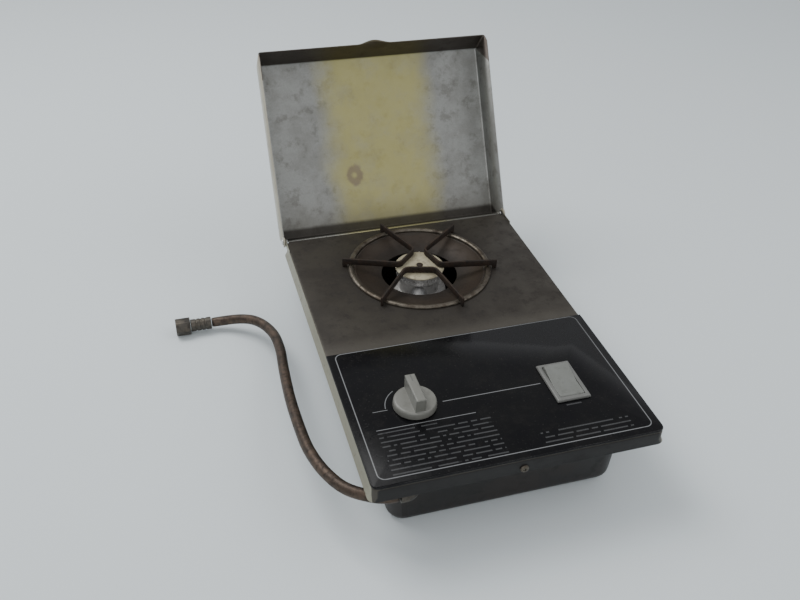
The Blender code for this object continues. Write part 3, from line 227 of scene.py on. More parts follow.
class WornSurface:
    """The shared group for a used surface: blotches, dirt, rubbed edges, grain and softened corners."""

    NAME = "worn_surface"
    COLOURS = ("Base", "Blotch", "Dirt", "Edge")
    NUMBERS = (
        "Blotch Scale",
        "Blotch Amount",
        "Dirt Scale",
        "Dirt Amount",
        "Edge Width",
        "Edge Amount",
        "Roughness",
        "Roughness Spread",
        "Grain Scale",
        "Grain Depth",
    )
    RESULTS = {"Color": "Color", "Roughness": "Float", "Normal": "Vector", "Rubbed": "Float"}

    @classmethod
    def tree(cls) -> bpy.types.NodeTree:
        """Returns the group, made the first time that it is asked for."""
        return bpy.data.node_groups.get(cls.NAME) or cls._build()

    @classmethod
    def _build(cls) -> bpy.types.NodeTree:
        """Builds the group.

        Returns:
            The node tree with its named sockets.
        """
        tree = bpy.data.node_groups.new(cls.NAME, "ShaderNodeTree")
        for name in cls.COLOURS:
            tree.interface.new_socket(name, in_out="INPUT", socket_type="NodeSocketColor")
        for name in cls.NUMBERS:
            tree.interface.new_socket(name, in_out="INPUT", socket_type="NodeSocketFloat")
        for name, kind in cls.RESULTS.items():
            tree.interface.new_socket(name, in_out="OUTPUT", socket_type=f"NodeSocket{kind}")
        g = Graph(tree)
        given = g.node("NodeGroupInput").outputs
        where = g.place()
        blotch = g.noise(where, given["Blotch Scale"], 5.0, 0.62)
        blotch_mask = g.math("MULTIPLY", g.step(blotch, 0.38, 0.64), given["Blotch Amount"])
        dirt = g.noise(where, given["Dirt Scale"], 8.0, 0.68)
        dirt_mask = g.math("MULTIPLY", g.step(dirt, 0.50, 0.66), given["Dirt Amount"])
        fine = g.noise(where, given["Grain Scale"], 3.0, 0.6)
        colour = g.mix(blotch_mask, given["Base"], given["Blotch"])
        colour = g.mix(dirt_mask, colour, given["Dirt"])
        speckle = g.math("ADD", g.math("MULTIPLY", fine, 0.5), 0.75)
        colour = g.mix(0.6, colour, g.join(speckle, speckle, speckle), "MULTIPLY")
        soft = g.node("ShaderNodeBevel", samples=4)
        g.feed(soft.inputs["Radius"], given["Edge Width"])
        flat = g.node("ShaderNodeNewGeometry").outputs["Normal"]
        turn = g.node("ShaderNodeVectorMath", operation="DOT_PRODUCT")
        g.feed(turn.inputs[0], soft.outputs[0])
        g.feed(turn.inputs[1], flat)
        near_edge = g.step(turn.outputs["Value"], 0.995, 0.93)
        broken = g.step(blotch, 0.36, 0.56)
        rubbed = g.math("MULTIPLY", g.math("MULTIPLY", near_edge, broken), given["Edge Amount"], True)
        colour = g.mix(rubbed, colour, given["Edge"])
        spread = g.math("MULTIPLY", g.math("SUBTRACT", blotch, 0.5), given["Roughness Spread"])
        rough = g.math("ADD", given["Roughness"], g.math("MULTIPLY", spread, 2.0))
        rough = g.math("ADD", rough, g.math("MULTIPLY", dirt_mask, 0.18), True)
        bump = g.node("ShaderNodeBump")
        bump.inputs["Distance"].default_value = 0.0004
        g.feed(bump.inputs["Strength"], given["Grain Depth"])
        g.feed(bump.inputs["Height"], g.math("ADD", fine, g.math("MULTIPLY", dirt, 0.6)))
        g.feed(bump.inputs["Normal"], soft.outputs[0])
        given_out = g.node("NodeGroupOutput").inputs
        for name, value in zip(cls.RESULTS, (colour, rough, bump.outputs[0], rubbed)):
            g.feed(given_out[name], value)
        return tree


@dataclass(frozen=True)
class Finish:
    """A worn surface in its own colours. Scales are in waves per metre and widths in metres."""

    name: str
    base: Colour
    blotch: Colour
    dirt: Colour
    edge: Colour
    roughness: float = 0.5
    spread: float = 0.10
    metallic: float = 0.0
    coat: float = 0.0
    gloss: float = 0.5
    blotch_scale: float = 22.0
    blotch_amount: float = 0.7
    dirt_scale: float = 60.0
    dirt_amount: float = 0.4
    edge_width: float = 0.0006
    edge_amount: float = 0.5
    grain_scale: float = 900.0
    grain_depth: float = 0.25

    def material(self) -> bpy.types.Material:
        """Returns the finish's material, made once."""
        return bpy.data.materials.get(self.name) or self.build()

    def build(self) -> bpy.types.Material:
        """Builds the material.

        Returns:
            The new material.
        """
        material = bpy.data.materials.new(self.name)
        material.use_nodes = True
        g = Graph(material.node_tree)
        shader = material.node_tree.nodes["Principled BSDF"]
        shader.inputs["Metallic"].default_value = self.metallic
        shader.inputs["Coat Weight"].default_value = self.coat
        shader.inputs["Specular IOR Level"].default_value = self.gloss
        shader.inputs["Coat Roughness"].default_value = 0.08
        worn = g.node("ShaderNodeGroup", node_tree=WornSurface.tree())
        values = (
            self.blotch_scale,
            self.blotch_amount,
            self.dirt_scale,
            self.dirt_amount,
            self.edge_width,
            self.edge_amount,
            self.roughness,
            self.spread,
            self.grain_scale,
            self.grain_depth,
        )
        for name, colour in zip(WornSurface.COLOURS, (self.base, self.blotch, self.dirt, self.edge)):
            g.feed(worn.inputs[name], colour)
        for name, value in zip(WornSurface.NUMBERS, values):
            g.feed(worn.inputs[name], value)
        colour, rough = self.paint(g, worn.outputs["Color"], worn.outputs["Roughness"])
        g.feed(shader.inputs["Base Color"], colour)
        g.feed(shader.inputs["Roughness"], rough)
        g.feed(shader.inputs["Normal"], worn.outputs["Normal"])
        return material

    def paint(self, g: Graph, colour: object, rough: object) -> tuple[object, object]:
        """Adds what only this finish has.

        Args:
            g: The material's graph.
            colour: The worn surface's colour.
            rough: The worn surface's roughness.

        Returns:
            The colour and the roughness to use.
        """
        return colour, rough


@dataclass(frozen=True)
class DeckFinish(Finish):
    """Sooty deck steel, browner in the burner's well, with pale painted skirts."""

    burner_y: float = 0.120
    well_rim: float = 0.080
    well_hole: float = 0.047
    fascia_back: float = -0.0223
    skirt_x: float = 0.1492
    well_colour: Colour = (0.050, 0.034, 0.022)
    burnt_colour: Colour = (0.014, 0.011, 0.009)
    clean_colour: Colour = (0.095, 0.086, 0.070)
    front_colour: Colour = (0.009, 0.008, 0.008)
    front_y: float = -0.2162
    skirt_colour: Colour = (0.30, 0.29, 0.225)

    def paint(self, g: Graph, colour: object, rough: object) -> tuple[object, object]:
        """Adds the burnt well, the cleaner strip behind the fascia and the pale skirts.

        Args:
            g: The material's graph.
            colour: The worn surface's colour.
            rough: The worn surface's roughness.

        Returns:
            The colour and the roughness to use.
        """
        where = g.place()
        x, y, _ = g.axes(where)
        away = g.math("SUBTRACT", y, self.burner_y)
        radius = g.math("SQRT", g.math("ADD", g.math("MULTIPLY", x, x), g.math("MULTIPLY", away, away)))
        ragged = g.math("MULTIPLY", g.math("SUBTRACT", g.noise(where, 45.0, 6.0, 0.7), 0.5), 0.03)
        burnt_radius = g.math("ADD", radius, ragged)
        in_well = g.step(burnt_radius, self.well_rim + 0.006, self.well_rim - 0.004)
        burnt = g.step(burnt_radius, self.well_rim - 0.004, self.well_hole - 0.001)
        haze = g.step(burnt_radius, 0.150, self.well_rim)
        strip = g.step(y, self.fascia_back + 0.030, self.fascia_back + 0.004)
        colour = g.mix(g.math("MULTIPLY", strip, 0.5), colour, self.clean_colour)
        colour = g.mix(g.math("MULTIPLY", haze, 0.45), colour, self.burnt_colour)
        colour = g.mix(g.math("MULTIPLY", in_well, 0.7), colour, self.well_colour)
        colour = g.mix(g.math("MULTIPLY", burnt, 0.75), colour, self.burnt_colour)
        side = g.step(g.math("ABSOLUTE", x), self.skirt_x, self.skirt_x + 0.0004)
        chips = g.step(g.noise(where, 130.0, 7.0, 0.75), 0.60, 0.66)
        skirt = g.math("MULTIPLY", side, g.math("SUBTRACT", 1.0, g.math("MULTIPLY", chips, 0.75)))
        colour = g.mix(skirt, colour, self.skirt_colour)
        front = g.step(y, self.front_y, self.front_y - 0.0006)
        colour = g.mix(g.math("MULTIPLY", front, 0.94), colour, self.front_colour)
        return colour, g.math("ADD", rough, g.math("MULTIPLY", in_well, 0.1), True)


@dataclass(frozen=True)
class LidFinish(Finish):
    """Dull sheet inside the lid, mottled, with a straw-coloured band down the middle, a ring stain, and
    painted shade along the hinge and over the front wall.
    """

    band_x: float = 0.004
    band_half: float = 0.078
    straw: Colour = (0.44, 0.40, 0.14)
    smoke: Colour = (0.13, 0.12, 0.10)
    stain: Colour = (0.19, 0.14, 0.12)
    # painted shade colours: the band along the hinge and the front wall
    hinge_painted_shade: Colour = (0.030, 0.025, 0.020)
    lip_painted_shade: Colour = (0.085, 0.066, 0.054)
    hinge_z: float = 0.088
    lip_z: float = 0.2675
    stain_at: Span = (-0.040, 0.134)
    stain_ring: Span = (0.0050, 0.0125)

    def paint(self, g: Graph, colour: object, rough: object) -> tuple[object, object]:
        """Adds the heat band, smoke towards the hinge, a painted shade band along the hinge, painted shade
        over the front wall, specks and the ring stain.

        Args:
            g: The material's graph.
            colour: The worn surface's colour.
            rough: The worn surface's roughness.

        Returns:
            The colour and the roughness to use.
        """
        where = g.place()
        x, _, z = g.axes(where)
        wander = g.math("MULTIPLY", g.math("SUBTRACT", g.noise(where, 12.0, 4.0, 0.6), 0.5), 0.05)
        across = g.math("ABSOLUTE", g.math("SUBTRACT", g.math("ADD", x, wander), self.band_x))
        band = g.step(across, self.band_half + 0.012, self.band_half - 0.030)
        patches = g.step(g.noise(where, 30.0, 7.0, 0.7), 0.30, 0.58, 0.72, 1.0)
        colour = g.mix(g.math("MULTIPLY", g.math("MULTIPLY", band, patches), 0.75), colour, self.straw)
        height = g.math("ADD", z, g.math("MULTIPLY", wander, 0.4))
        low = g.step(height, self.hinge_z + 0.030, self.hinge_z - 0.02)
        colour = g.mix(g.math("MULTIPLY", low, 0.55), colour, self.smoke)
        # painted shade: a dark band along the hinge, where the pan's lower edge lies in shadow
        seam = g.step(z, self.hinge_z - 0.006, self.hinge_z - 0.011)
        colour = g.mix(g.math("MULTIPLY", seam, 0.85), colour, self.hinge_painted_shade)
        # painted shade: the front wall darkened as if it lay in shadow
        lip = g.step(z, self.lip_z, self.lip_z + 0.002)
        colour = g.mix(g.math("MULTIPLY", lip, 0.85), colour, self.lip_painted_shade)
        specks = g.step(g.noise(where, 120.0, 3.0, 0.6), 0.735, 0.765)
        colour = g.mix(g.math("MULTIPLY", specks, 0.7), colour, self.smoke)
        stain_x, stain_z = self.stain_at
        ring = g.join(g.math("SUBTRACT", x, stain_x), g.math("SUBTRACT", z, stain_z))
        length = g.node("ShaderNodeVectorMath", operation="LENGTH")
        g.feed(length.inputs[0], ring)
        ragged = g.math("MULTIPLY", g.math("SUBTRACT", patches, 0.85), 0.014)
        reach = g.math("ADD", length.outputs["Value"], ragged)
        mark = g.band(reach, *self.stain_ring, 0.0022)
        colour = g.mix(g.math("MULTIPLY", mark, 0.65), colour, self.stain)
        return colour, g.math("ADD", rough, g.math("MULTIPLY", low, 0.15), True)


@dataclass(frozen=True)
class FasciaFinish(Finish):
    """Gloss black with a printed silver border, the lines round the controls and rows of dashes for text."""

    half_x: float = 0.150
    front_y: float = -0.217
    back_y: float = -0.0223
    inset: float = 0.0084
    corner: float = 0.008
    line: float = 0.0010
    knob: tuple[float, float] = (-0.080, -0.120)
    arc: float = 0.030
    silver: Colour = (0.22, 0.225, 0.23)
    dust: Colour = (0.35, 0.33, 0.30)
    bars: tuple[tuple[Span, Span], ...] = (
        ((-0.1240, -0.1085), (-0.1204, -0.1197)),
        ((-0.0510, 0.0565), (-0.1225, -0.1216)),
        ((-0.1270, -0.0240), (-0.1462, -0.1454)),
    )
    blocks: tuple[tuple[Span, Span, int], ...] = (
        ((0.0690, 0.0890), (-0.1620, -0.1560), 1),
        ((-0.127, -0.012), (-0.2075, -0.1530), 9),
        ((0.027, 0.122), (-0.2055, -0.1865), 3),
        ((-0.127, -0.066), (-0.1530, -0.1475), 1),
    )

    def paint(self, g: Graph, colour: object, rough: object) -> tuple[object, object]:
        """Adds the printing.

        Args:
            g: The material's graph.
            colour: The worn surface's colour.
            rough: The worn surface's roughness.

        Returns:
            The colour and the roughness to use.
        """
        where = g.place()
        x, y, _ = g.axes(where)
        marks = [self.border(g, x, y), self.knob_arc(g, x, y)]
        marks += [self.stroke(g, x, y, *bar) for bar in self.bars]
        marks += [self.rows(g, x, y, *block) for block in self.blocks]
        ink = marks[0]
        for mark in marks[1:]:
            ink = g.math("MAXIMUM", ink, mark)
        worn_ink = g.step(g.noise(where, 160.0, 6.0, 0.7), 0.30, 0.42, 0.35, 1.0)
        ink = g.math("MULTIPLY", ink, worn_ink)
        dust = g.step(g.noise(where, 420.0, 4.0, 0.65), 0.60, 0.72)
        colour = g.mix(g.math("MULTIPLY", dust, 0.035), colour, self.dust)
        return g.mix(ink, colour, self.silver), g.math("ADD", rough, g.math("MULTIPLY", dust, 0.25), True)

    def border(self, g: Graph, x: object, y: object) -> object:
        """The line round the fascia, with rounded corners.

        Args:
            g: The graph.
            x: Place across.
            y: Place along.

        Returns:
            The mask.
        """
        back = self.back_y - 0.0011
        front = self.front_y + self.inset
        middle = (back + front) / 2
        half_x = self.half_x - self.inset - self.corner
        half_y = (back - front) / 2 - self.corner
        out_x = g.math("SUBTRACT", g.math("ABSOLUTE", x), half_x)
        out_y = g.math("SUBTRACT", g.math("ABSOLUTE", g.math("SUBTRACT", y, middle)), half_y)
        length = g.node("ShaderNodeVectorMath", operation="LENGTH")
        g.feed(length.inputs[0], g.join(g.math("MAXIMUM", out_x, 0.0), g.math("MAXIMUM", out_y, 0.0)))
        inside = g.math("MINIMUM", g.math("MAXIMUM", out_x, out_y), 0.0)
        distance = g.math("ADD", length.outputs["Value"], inside)
        return g.band(distance, self.corner - self.line, self.corner, 0.0002)

    def knob_arc(self, g: Graph, x: object, y: object) -> object:
        """The arc that marks the knob's travel.

        Args:
            g: The graph.
            x: Place across.
            y: Place along.

        Returns:
            The mask.
        """
        dx = g.math("SUBTRACT", x, self.knob[0])
        dy = g.math("SUBTRACT", y, self.knob[1])
        length = g.node("ShaderNodeVectorMath", operation="LENGTH")
        g.feed(length.inputs[0], g.join(dx, dy))
        ring = g.band(length.outputs["Value"], self.arc - 0.0004, self.arc + 0.0004, 0.0002)
        angle = g.math("ARCTAN2", dy, dx)
        return g.math("MULTIPLY", ring, g.band(angle, math.radians(122), math.radians(176), 0.02))

    def stroke(self, g: Graph, x: object, y: object, span_x: Span, span_y: Span) -> object:
        """A printed bar.

        Args:
            g: The graph.
            x: Place across.
            y: Place along.
            span_x: Its two ends across.
            span_y: Its two ends along.

        Returns:
            The mask.
        """
        return g.math("MULTIPLY", g.band(x, *span_x, 0.0002), g.band(y, *span_y, 0.0002))

    def rows(self, g: Graph, x: object, y: object, span_x: Span, span_y: Span, count: int) -> object:
        """Rows of short dashes in place of words.

        Args:
            g: The graph.
            x: Place across.
            y: Place along.
            span_x: The block's two sides.
            span_y: The block's front and back.
            count: Number of rows.

        Returns:
            The mask.
        """
        pitch = (span_y[1] - span_y[0]) / count
        row = g.math("DIVIDE", g.math("SUBTRACT", y, span_y[0]), pitch)
        in_row = g.band(g.math("FRACT", row), 0.34, 0.58, 0.10)
        letter = g.math("DIVIDE", x, 0.0011)
        in_letter = g.step(g.math("FRACT", letter), 0.50, 0.80, 1.0, 0.10)
        words = g.node("ShaderNodeTexWhiteNoise", noise_dimensions="2D")
        word = g.join(g.math("FLOOR", g.math("DIVIDE", x, 0.0033)), g.math("FLOOR", row))
        g.feed(words.inputs["Vector"], word)
        present = g.step(words.outputs["Value"], 0.22, 0.26)
        block = self.stroke(g, x, y, span_x, span_y)
        mask = g.math("MULTIPLY", g.math("MULTIPLY", in_row, in_letter), g.math("MULTIPLY", present, block))
        return g.math("MULTIPLY", mask, 0.42)


@dataclass(frozen=True)
class KnobFinish(Finish):
    """Grey plastic with a dark pointer line on the grip's rear end."""

    knob: tuple[float, float] = (-0.080, -0.120)
    grip_top: float = 0.112
    pointer: Colour = (0.10, 0.10, 0.10)
    pointer_half: float = 0.0006
    pointer_ends: Span = (0.009, 0.019)

    def paint(self, g: Graph, colour: object, rough: object) -> tuple[object, object]:
        """Adds the pointer line.

        Args:
            g: The material's graph.
            colour: The worn surface's colour.
            rough: The worn surface's roughness.

        Returns:
            The colour and the roughness to use.
        """
        x, y, z = g.axes(g.place())
        line = g.band(g.math("SUBTRACT", x, self.knob[0]), -self.pointer_half, self.pointer_half, 0.0002)
        rear = g.band(g.math("SUBTRACT", y, self.knob[1]), *self.pointer_ends, 0.0003)
        on_top = g.step(z, self.grip_top, self.grip_top + 0.002)
        mark = g.math("MULTIPLY", g.math("MULTIPLY", line, rear), on_top)
        return g.mix(g.math("MULTIPLY", mark, 0.7), colour, self.pointer), rough


class Finishes:
    """Every finish of the stove."""

    DECK = DeckFinish(
        "sooty_deck",
        (0.046, 0.040, 0.031), (0.026, 0.021, 0.016), (0.017, 0.013, 0.010), (0.16, 0.145, 0.12),
        roughness=0.48, spread=0.16, metallic=0.35, blotch_scale=26.0, blotch_amount=0.8, dirt_scale=75.0,
        dirt_amount=0.6, edge_width=0.0012, edge_amount=0.6, grain_scale=700.0, grain_depth=0.30,
    )
    TUB = Finish(
        "tub_enamel",
        (0.010, 0.008, 0.007), (0.022, 0.016, 0.013), (0.006, 0.005, 0.004), (0.07, 0.055, 0.045),
        roughness=0.42, spread=0.12, metallic=0.15, blotch_scale=18.0, dirt_scale=48.0, dirt_amount=0.6,
        grain_depth=0.3,
    )
    FASCIA = FasciaFinish(
        "printed_fascia",
        (0.004, 0.004, 0.005), (0.007, 0.007, 0.007), (0.02, 0.018, 0.016), (0.20, 0.20, 0.20),
        roughness=0.20, spread=0.08, metallic=0.0, coat=0.0, gloss=0.15, blotch_scale=20.0, blotch_amount=0.6,
        dirt_scale=90.0, dirt_amount=0.18, edge_width=0.0008, edge_amount=0.55, grain_depth=0.08,
    )
    LID_INSIDE = LidFinish(
        "lid_inside_sheet", (0.31, 0.315, 0.30), (0.24, 0.24, 0.225), (0.12, 0.11, 0.095), (0.58, 0.57, 0.53),
        roughness=0.42, spread=0.16, metallic=0.75, blotch_scale=34.0, blotch_amount=0.75, dirt_scale=55.0,
        dirt_amount=0.45, edge_width=0.0008, edge_amount=0.7, grain_scale=500.0, grain_depth=0.22,
    )
    LID_OUTSIDE = Finish(
        "lid_outside_paint", (0.42, 0.40, 0.32), (0.35, 0.32, 0.25), (0.20, 0.15, 0.11), (0.30, 0.24, 0.19),
        roughness=0.38, spread=0.10, metallic=0.0, coat=0.15, blotch_scale=14.0, dirt_scale=42.0,
        dirt_amount=0.35, edge_width=0.0008, edge_amount=0.6, grain_depth=0.15,
    )
    BARS = Finish(
        "rusty_bars", (0.024, 0.018, 0.014), (0.046, 0.028, 0.018), (0.010, 0.008, 0.007), (0.12, 0.10, 0.08),
        roughness=0.68, spread=0.14, metallic=0.45, blotch_scale=90.0, blotch_amount=0.8, dirt_scale=140.0,
        dirt_amount=0.7, edge_width=0.0005, edge_amount=0.6, grain_scale=1600.0, grain_depth=0.7,
    )
    RING = Finish(
        "worn_ring", (0.155, 0.138, 0.112), (0.058, 0.044, 0.032), (0.026, 0.019, 0.015), (0.42, 0.39, 0.34),
        roughness=0.42, spread=0.16, metallic=0.85, blotch_scale=60.0, blotch_amount=0.8, dirt_scale=110.0,
        dirt_amount=0.6, edge_amount=0.4, grain_scale=1200.0, grain_depth=0.4,
    )
    BURNER = Finish(
        "cast_burner", (0.52, 0.51, 0.49), (0.36, 0.35, 0.34), (0.12, 0.10, 0.085), (0.80, 0.79, 0.76),
        roughness=0.40, spread=0.12, metallic=0.55, blotch_scale=80.0, dirt_scale=150.0, dirt_amount=0.5,
        edge_width=0.0005, edge_amount=0.8, grain_scale=1500.0, grain_depth=0.6,
    )
    CAP = Finish(
        "burner_cap", (0.44, 0.40, 0.28), (0.33, 0.29, 0.20), (0.12, 0.09, 0.06), (0.70, 0.66, 0.58),
        roughness=0.58, spread=0.12, metallic=0.25, blotch_scale=70.0, blotch_amount=0.7, dirt_scale=120.0,
        dirt_amount=0.45, edge_width=0.0006, edge_amount=0.5, grain_scale=1300.0, grain_depth=0.5,
    )
    BEZEL = Finish(
        "bezel_plastic",
        (0.165, 0.167, 0.158), (0.125, 0.125, 0.115), (0.06, 0.055, 0.05), (0.30, 0.30, 0.29),
        roughness=0.34, spread=0.08, blotch_scale=30.0, blotch_amount=0.5, dirt_scale=130.0, dirt_amount=0.18,
        edge_width=0.0006, edge_amount=0.35, grain_scale=2200.0, grain_depth=0.12,
    )
    PAD = Finish(
        "pad_plastic", (0.185, 0.192, 0.178), (0.145, 0.15, 0.135), (0.07, 0.068, 0.058), (0.33, 0.34, 0.32),
        roughness=0.36, spread=0.08, blotch_scale=36.0, blotch_amount=0.5, dirt_scale=140.0, dirt_amount=0.3,
        edge_width=0.0008, edge_amount=0.35, grain_scale=2200.0, grain_depth=0.12,
    )
    KNOB = KnobFinish(
        "knob_plastic", (0.20, 0.20, 0.18), (0.155, 0.155, 0.135), (0.08, 0.075, 0.06), (0.36, 0.365, 0.35),
        roughness=0.33, spread=0.08, blotch_scale=36.0, blotch_amount=0.5, dirt_scale=150.0, dirt_amount=0.2,
        edge_width=0.0008, edge_amount=0.4, grain_scale=2200.0, grain_depth=0.12,
    )
    STEEL = Finish(
        "plated_steel", (0.46, 0.45, 0.43), (0.33, 0.31, 0.28), (0.12, 0.09, 0.07), (0.75, 0.74, 0.72),
        roughness=0.34, spread=0.14, metallic=0.95, blotch_scale=120.0, dirt_scale=200.0, dirt_amount=0.4,
        edge_width=0.0004, edge_amount=0.6, grain_scale=2000.0, grain_depth=0.3,
    )
    BRASS = Finish(
        "dull_brass", (0.36, 0.27, 0.14), (0.22, 0.16, 0.085), (0.07, 0.05, 0.03), (0.62, 0.50, 0.28),
        roughness=0.38, spread=0.12, metallic=0.9, blotch_scale=110.0, dirt_scale=180.0, dirt_amount=0.5,
        edge_width=0.0004, edge_amount=0.6, grain_scale=1800.0, grain_depth=0.3,
    )
    PIPE = Finish(
        "tarnished_pipe",
        (0.062, 0.047, 0.037), (0.120, 0.086, 0.064), (0.024, 0.019, 0.017), (0.22, 0.17, 0.13),
        roughness=0.46, spread=0.20, metallic=0.75, blotch_scale=95.0, blotch_amount=0.9, dirt_scale=160.0,
        dirt_amount=0.7, edge_amount=0.2, grain_scale=1400.0, grain_depth=0.5,
    )
    FITTING = Finish(
        "dark_fitting",
        (0.070, 0.064, 0.056), (0.115, 0.100, 0.080), (0.028, 0.024, 0.021), (0.26, 0.24, 0.20),
        roughness=0.42, spread=0.14, metallic=0.8, blotch_scale=110.0, blotch_amount=0.8, dirt_scale=180.0,
        dirt_amount=0.6, edge_width=0.0005, edge_amount=0.6, grain_scale=1600.0, grain_depth=0.4,
    )
    CERAMIC = Finish(
        "electrode_ceramic", (0.72, 0.70, 0.64), (0.60, 0.57, 0.50), (0.20, 0.17, 0.14), (0.80, 0.79, 0.76),
        roughness=0.3, spread=0.06, blotch_scale=120.0, dirt_scale=200.0, dirt_amount=0.5, grain_depth=0.1,
    )
    RUBBER = Finish(
        "lead_rubber", (0.022, 0.022, 0.022), (0.035, 0.034, 0.033), (0.07, 0.065, 0.06), (0.05, 0.05, 0.05),
        roughness=0.7, spread=0.08, blotch_scale=120.0, dirt_scale=200.0, grain_depth=0.3,
    )
    DARK = Finish(
        "black_plastic", (0.03, 0.03, 0.03), (0.045, 0.044, 0.043), (0.08, 0.075, 0.07), (0.10, 0.10, 0.10),
        roughness=0.5, spread=0.08, blotch_scale=60.0, dirt_scale=150.0, grain_depth=0.25,
    )


# ---------------------------------------------------------------------------------------------- mesh helpers


def spun(profile: Iterable[Sequence[float]], steps: int = 72, ring: bool = False) -> bmesh.types.BMesh:
    """Turns a profile of (radius, height) round Z.

    Args:
        profile: The points, outer side running down.
        steps: Steps round the turn.
        ring: Whether the profile's last point joins its first.

    Returns:
        The closed shape.
    """
    bm = bmesh.new()
    verts = [bm.verts.new((radius, 0.0, height)) for radius, height in profile]
    edges = [bm.edges.new(pair) for pair in zip(verts, verts[1:])]
    if ring:
        edges.append(bm.edges.new((verts[-1], verts[0])))
    bmesh.ops.spin(
        bm, geom=verts + edges, axis=(0, 0, 1), cent=(0, 0, 0), steps=steps, angle=2 * math.pi, use_merge=True
    )
    bmesh.ops.remove_doubles(bm, verts=bm.verts, dist=1e-6)
    bmesh.ops.recalc_face_normals(bm, faces=bm.faces)
    return bm


def block(low: Sequence[float], high: Sequence[float]) -> bmesh.types.BMesh:
    """A box between two corners.

    Args:
        low: Lowest corner.
        high: Highest corner.

    Returns:
        The closed box.
    """
    bm = bmesh.new()
    low, high = Vector(low), Vector(high)
    shape = Matrix.Translation((low + high) / 2) @ Matrix.Diagonal((*(high - low), 1.0))
    bmesh.ops.create_cube(bm, size=1.0, matrix=shape)
    return bm


def sliced(
    bm: bmesh.types.BMesh, faces: Iterable[bmesh.types.BMFace], planes: Iterable[tuple[Vector, Vector]]
) -> list[bmesh.types.BMFace]:
    """Cuts some faces, and nothing else of the shape, along planes.

    Args:
        bm: The shape.
        faces: The faces to cut.
        planes: A point on each plane and its normal.

    Returns:
        The faces that the cuts leave.
    """
    faces = list(faces)
    for point, normal in planes:
        edges = {edge for face in faces for edge in face.edges}
        verts = {vert for face in faces for vert in face.verts}
        geometry = list(set(faces) | edges | verts)
        cut = bmesh.ops.bisect_plane(bm, geom=geometry, plane_co=point, plane_no=normal)
        faces = [item for item in cut["geom"] if isinstance(item, bmesh.types.BMFace)]
    return faces


def ease(
    bm: bmesh.types.BMesh, edges: Iterable[bmesh.types.BMEdge], radius: float, segments: int = 3
) -> None:
    """Rounds edges off.

    Args:
        bm: The shape.
        edges: The edges to round.
        radius: The rounding's radius.
        segments: Number of faces across it.
    """
    bmesh.ops.bevel(
        bm, geom=list(edges), offset=radius, offset_type="OFFSET", segments=segments, profile=0.5,
        affect="EDGES", material=-1, clamp_overlap=True,
    )


def moved(bm: bmesh.types.BMesh, matrix: Matrix) -> bmesh.types.BMesh:
    """Moves a whole shape.

    Args:
        bm: The shape.
        matrix: Where it goes.

    Returns:
        The same shape.
    """
    bmesh.ops.transform(bm, matrix=matrix, verts=bm.verts)
    return bm


def merged(shapes: Iterable[bmesh.types.BMesh]) -> bmesh.types.BMesh:
    """Puts several shapes into one, each staying a closed shell.

    Args:
        shapes: The shapes, which are used up.

    Returns:
        One shape.
    """
    whole = bmesh.new()
    for shape in shapes:
        mesh = bpy.data.meshes.new("part_of_piece")
        shape.to_mesh(mesh)
        shape.free()
        whole.from_mesh(mesh)
        bpy.data.meshes.remove(mesh)
    return whole


def piece(
    name: str,
    bm: bmesh.types.BMesh,
    finishes: Sequence[Finish],
    body: Body,
    stands_for: Sequence[str] = (),
    crease: float = 32.0,
) -> bpy.types.Object:
    """Makes a finished piece at the origin.

    Args:
        name: The piece's name.
        bm: Its shape, in place, which is used up.
        finishes: Its finishes, one a material slot.
        body: The moving group that it rides on.
        stands_for: The frame nodes that it replaces.
        crease: Edges sharper than this many degrees stay hard.

    Returns:
        The piece.
    """
    mesh = bpy.data.meshes.new(name)
    bm.to_mesh(mesh)
    bm.free()
    obj = bpy.data.objects.new(name, mesh)
    bpy.context.scene.collection.objects.link(obj)
    for finish in finishes:
        mesh.materials.append(finish.material())
    mesh.shade_smooth()
    mesh.set_sharp_from_angle(angle=math.radians(crease))
    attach(obj, body.value)
    if stands_for:
        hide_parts(*stands_for)
    log.info("%s: %d faces", name, len(mesh.polygons))
    return obj


@dataclass(frozen=True)
class Softened:
    """A frame node copied whole, with its corners eased and its curves shaded smooth."""

    node: str
    finish: Finish
    radius: float = 0.0003
    segments: int = 2
    crease: float = 32.0

    def build(self) -> None:
        """Makes the copy and hides the node behind it."""
        bm = bmesh.new()
        bm.from_mesh(FRAME["nodes"][self.node].data)
        bmesh.ops.remove_doubles(bm, verts=bm.verts, dist=2e-6)
        bmesh.ops.dissolve_limit(bm, angle_limit=math.radians(0.5), verts=bm.verts, edges=bm.edges)
        bodies = FRAME["record"]["behaviour"]["bodies"]
        body = Body(next(name for name, nodes in bodies.items() if self.node in nodes))
        copy = piece(f"{self.node}_worked", bm, (self.finish,), body, (self.node,), self.crease)
        if self.radius:
            eased = copy.modifiers.new("eased", "BEVEL")
            eased.width = self.radius
            eased.segments = self.segments
            eased.limit_method = "ANGLE"
            eased.angle_limit = math.radians(40)
            eased.harden_normals = True


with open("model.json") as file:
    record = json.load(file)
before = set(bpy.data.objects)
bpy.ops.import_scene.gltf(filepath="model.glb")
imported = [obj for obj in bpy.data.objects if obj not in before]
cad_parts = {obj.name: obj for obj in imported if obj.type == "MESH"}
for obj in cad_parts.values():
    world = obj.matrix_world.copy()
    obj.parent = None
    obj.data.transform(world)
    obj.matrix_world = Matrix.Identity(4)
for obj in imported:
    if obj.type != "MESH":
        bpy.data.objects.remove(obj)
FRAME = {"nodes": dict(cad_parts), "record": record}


# ---------------------------------------------------------------------------------------------- the stove


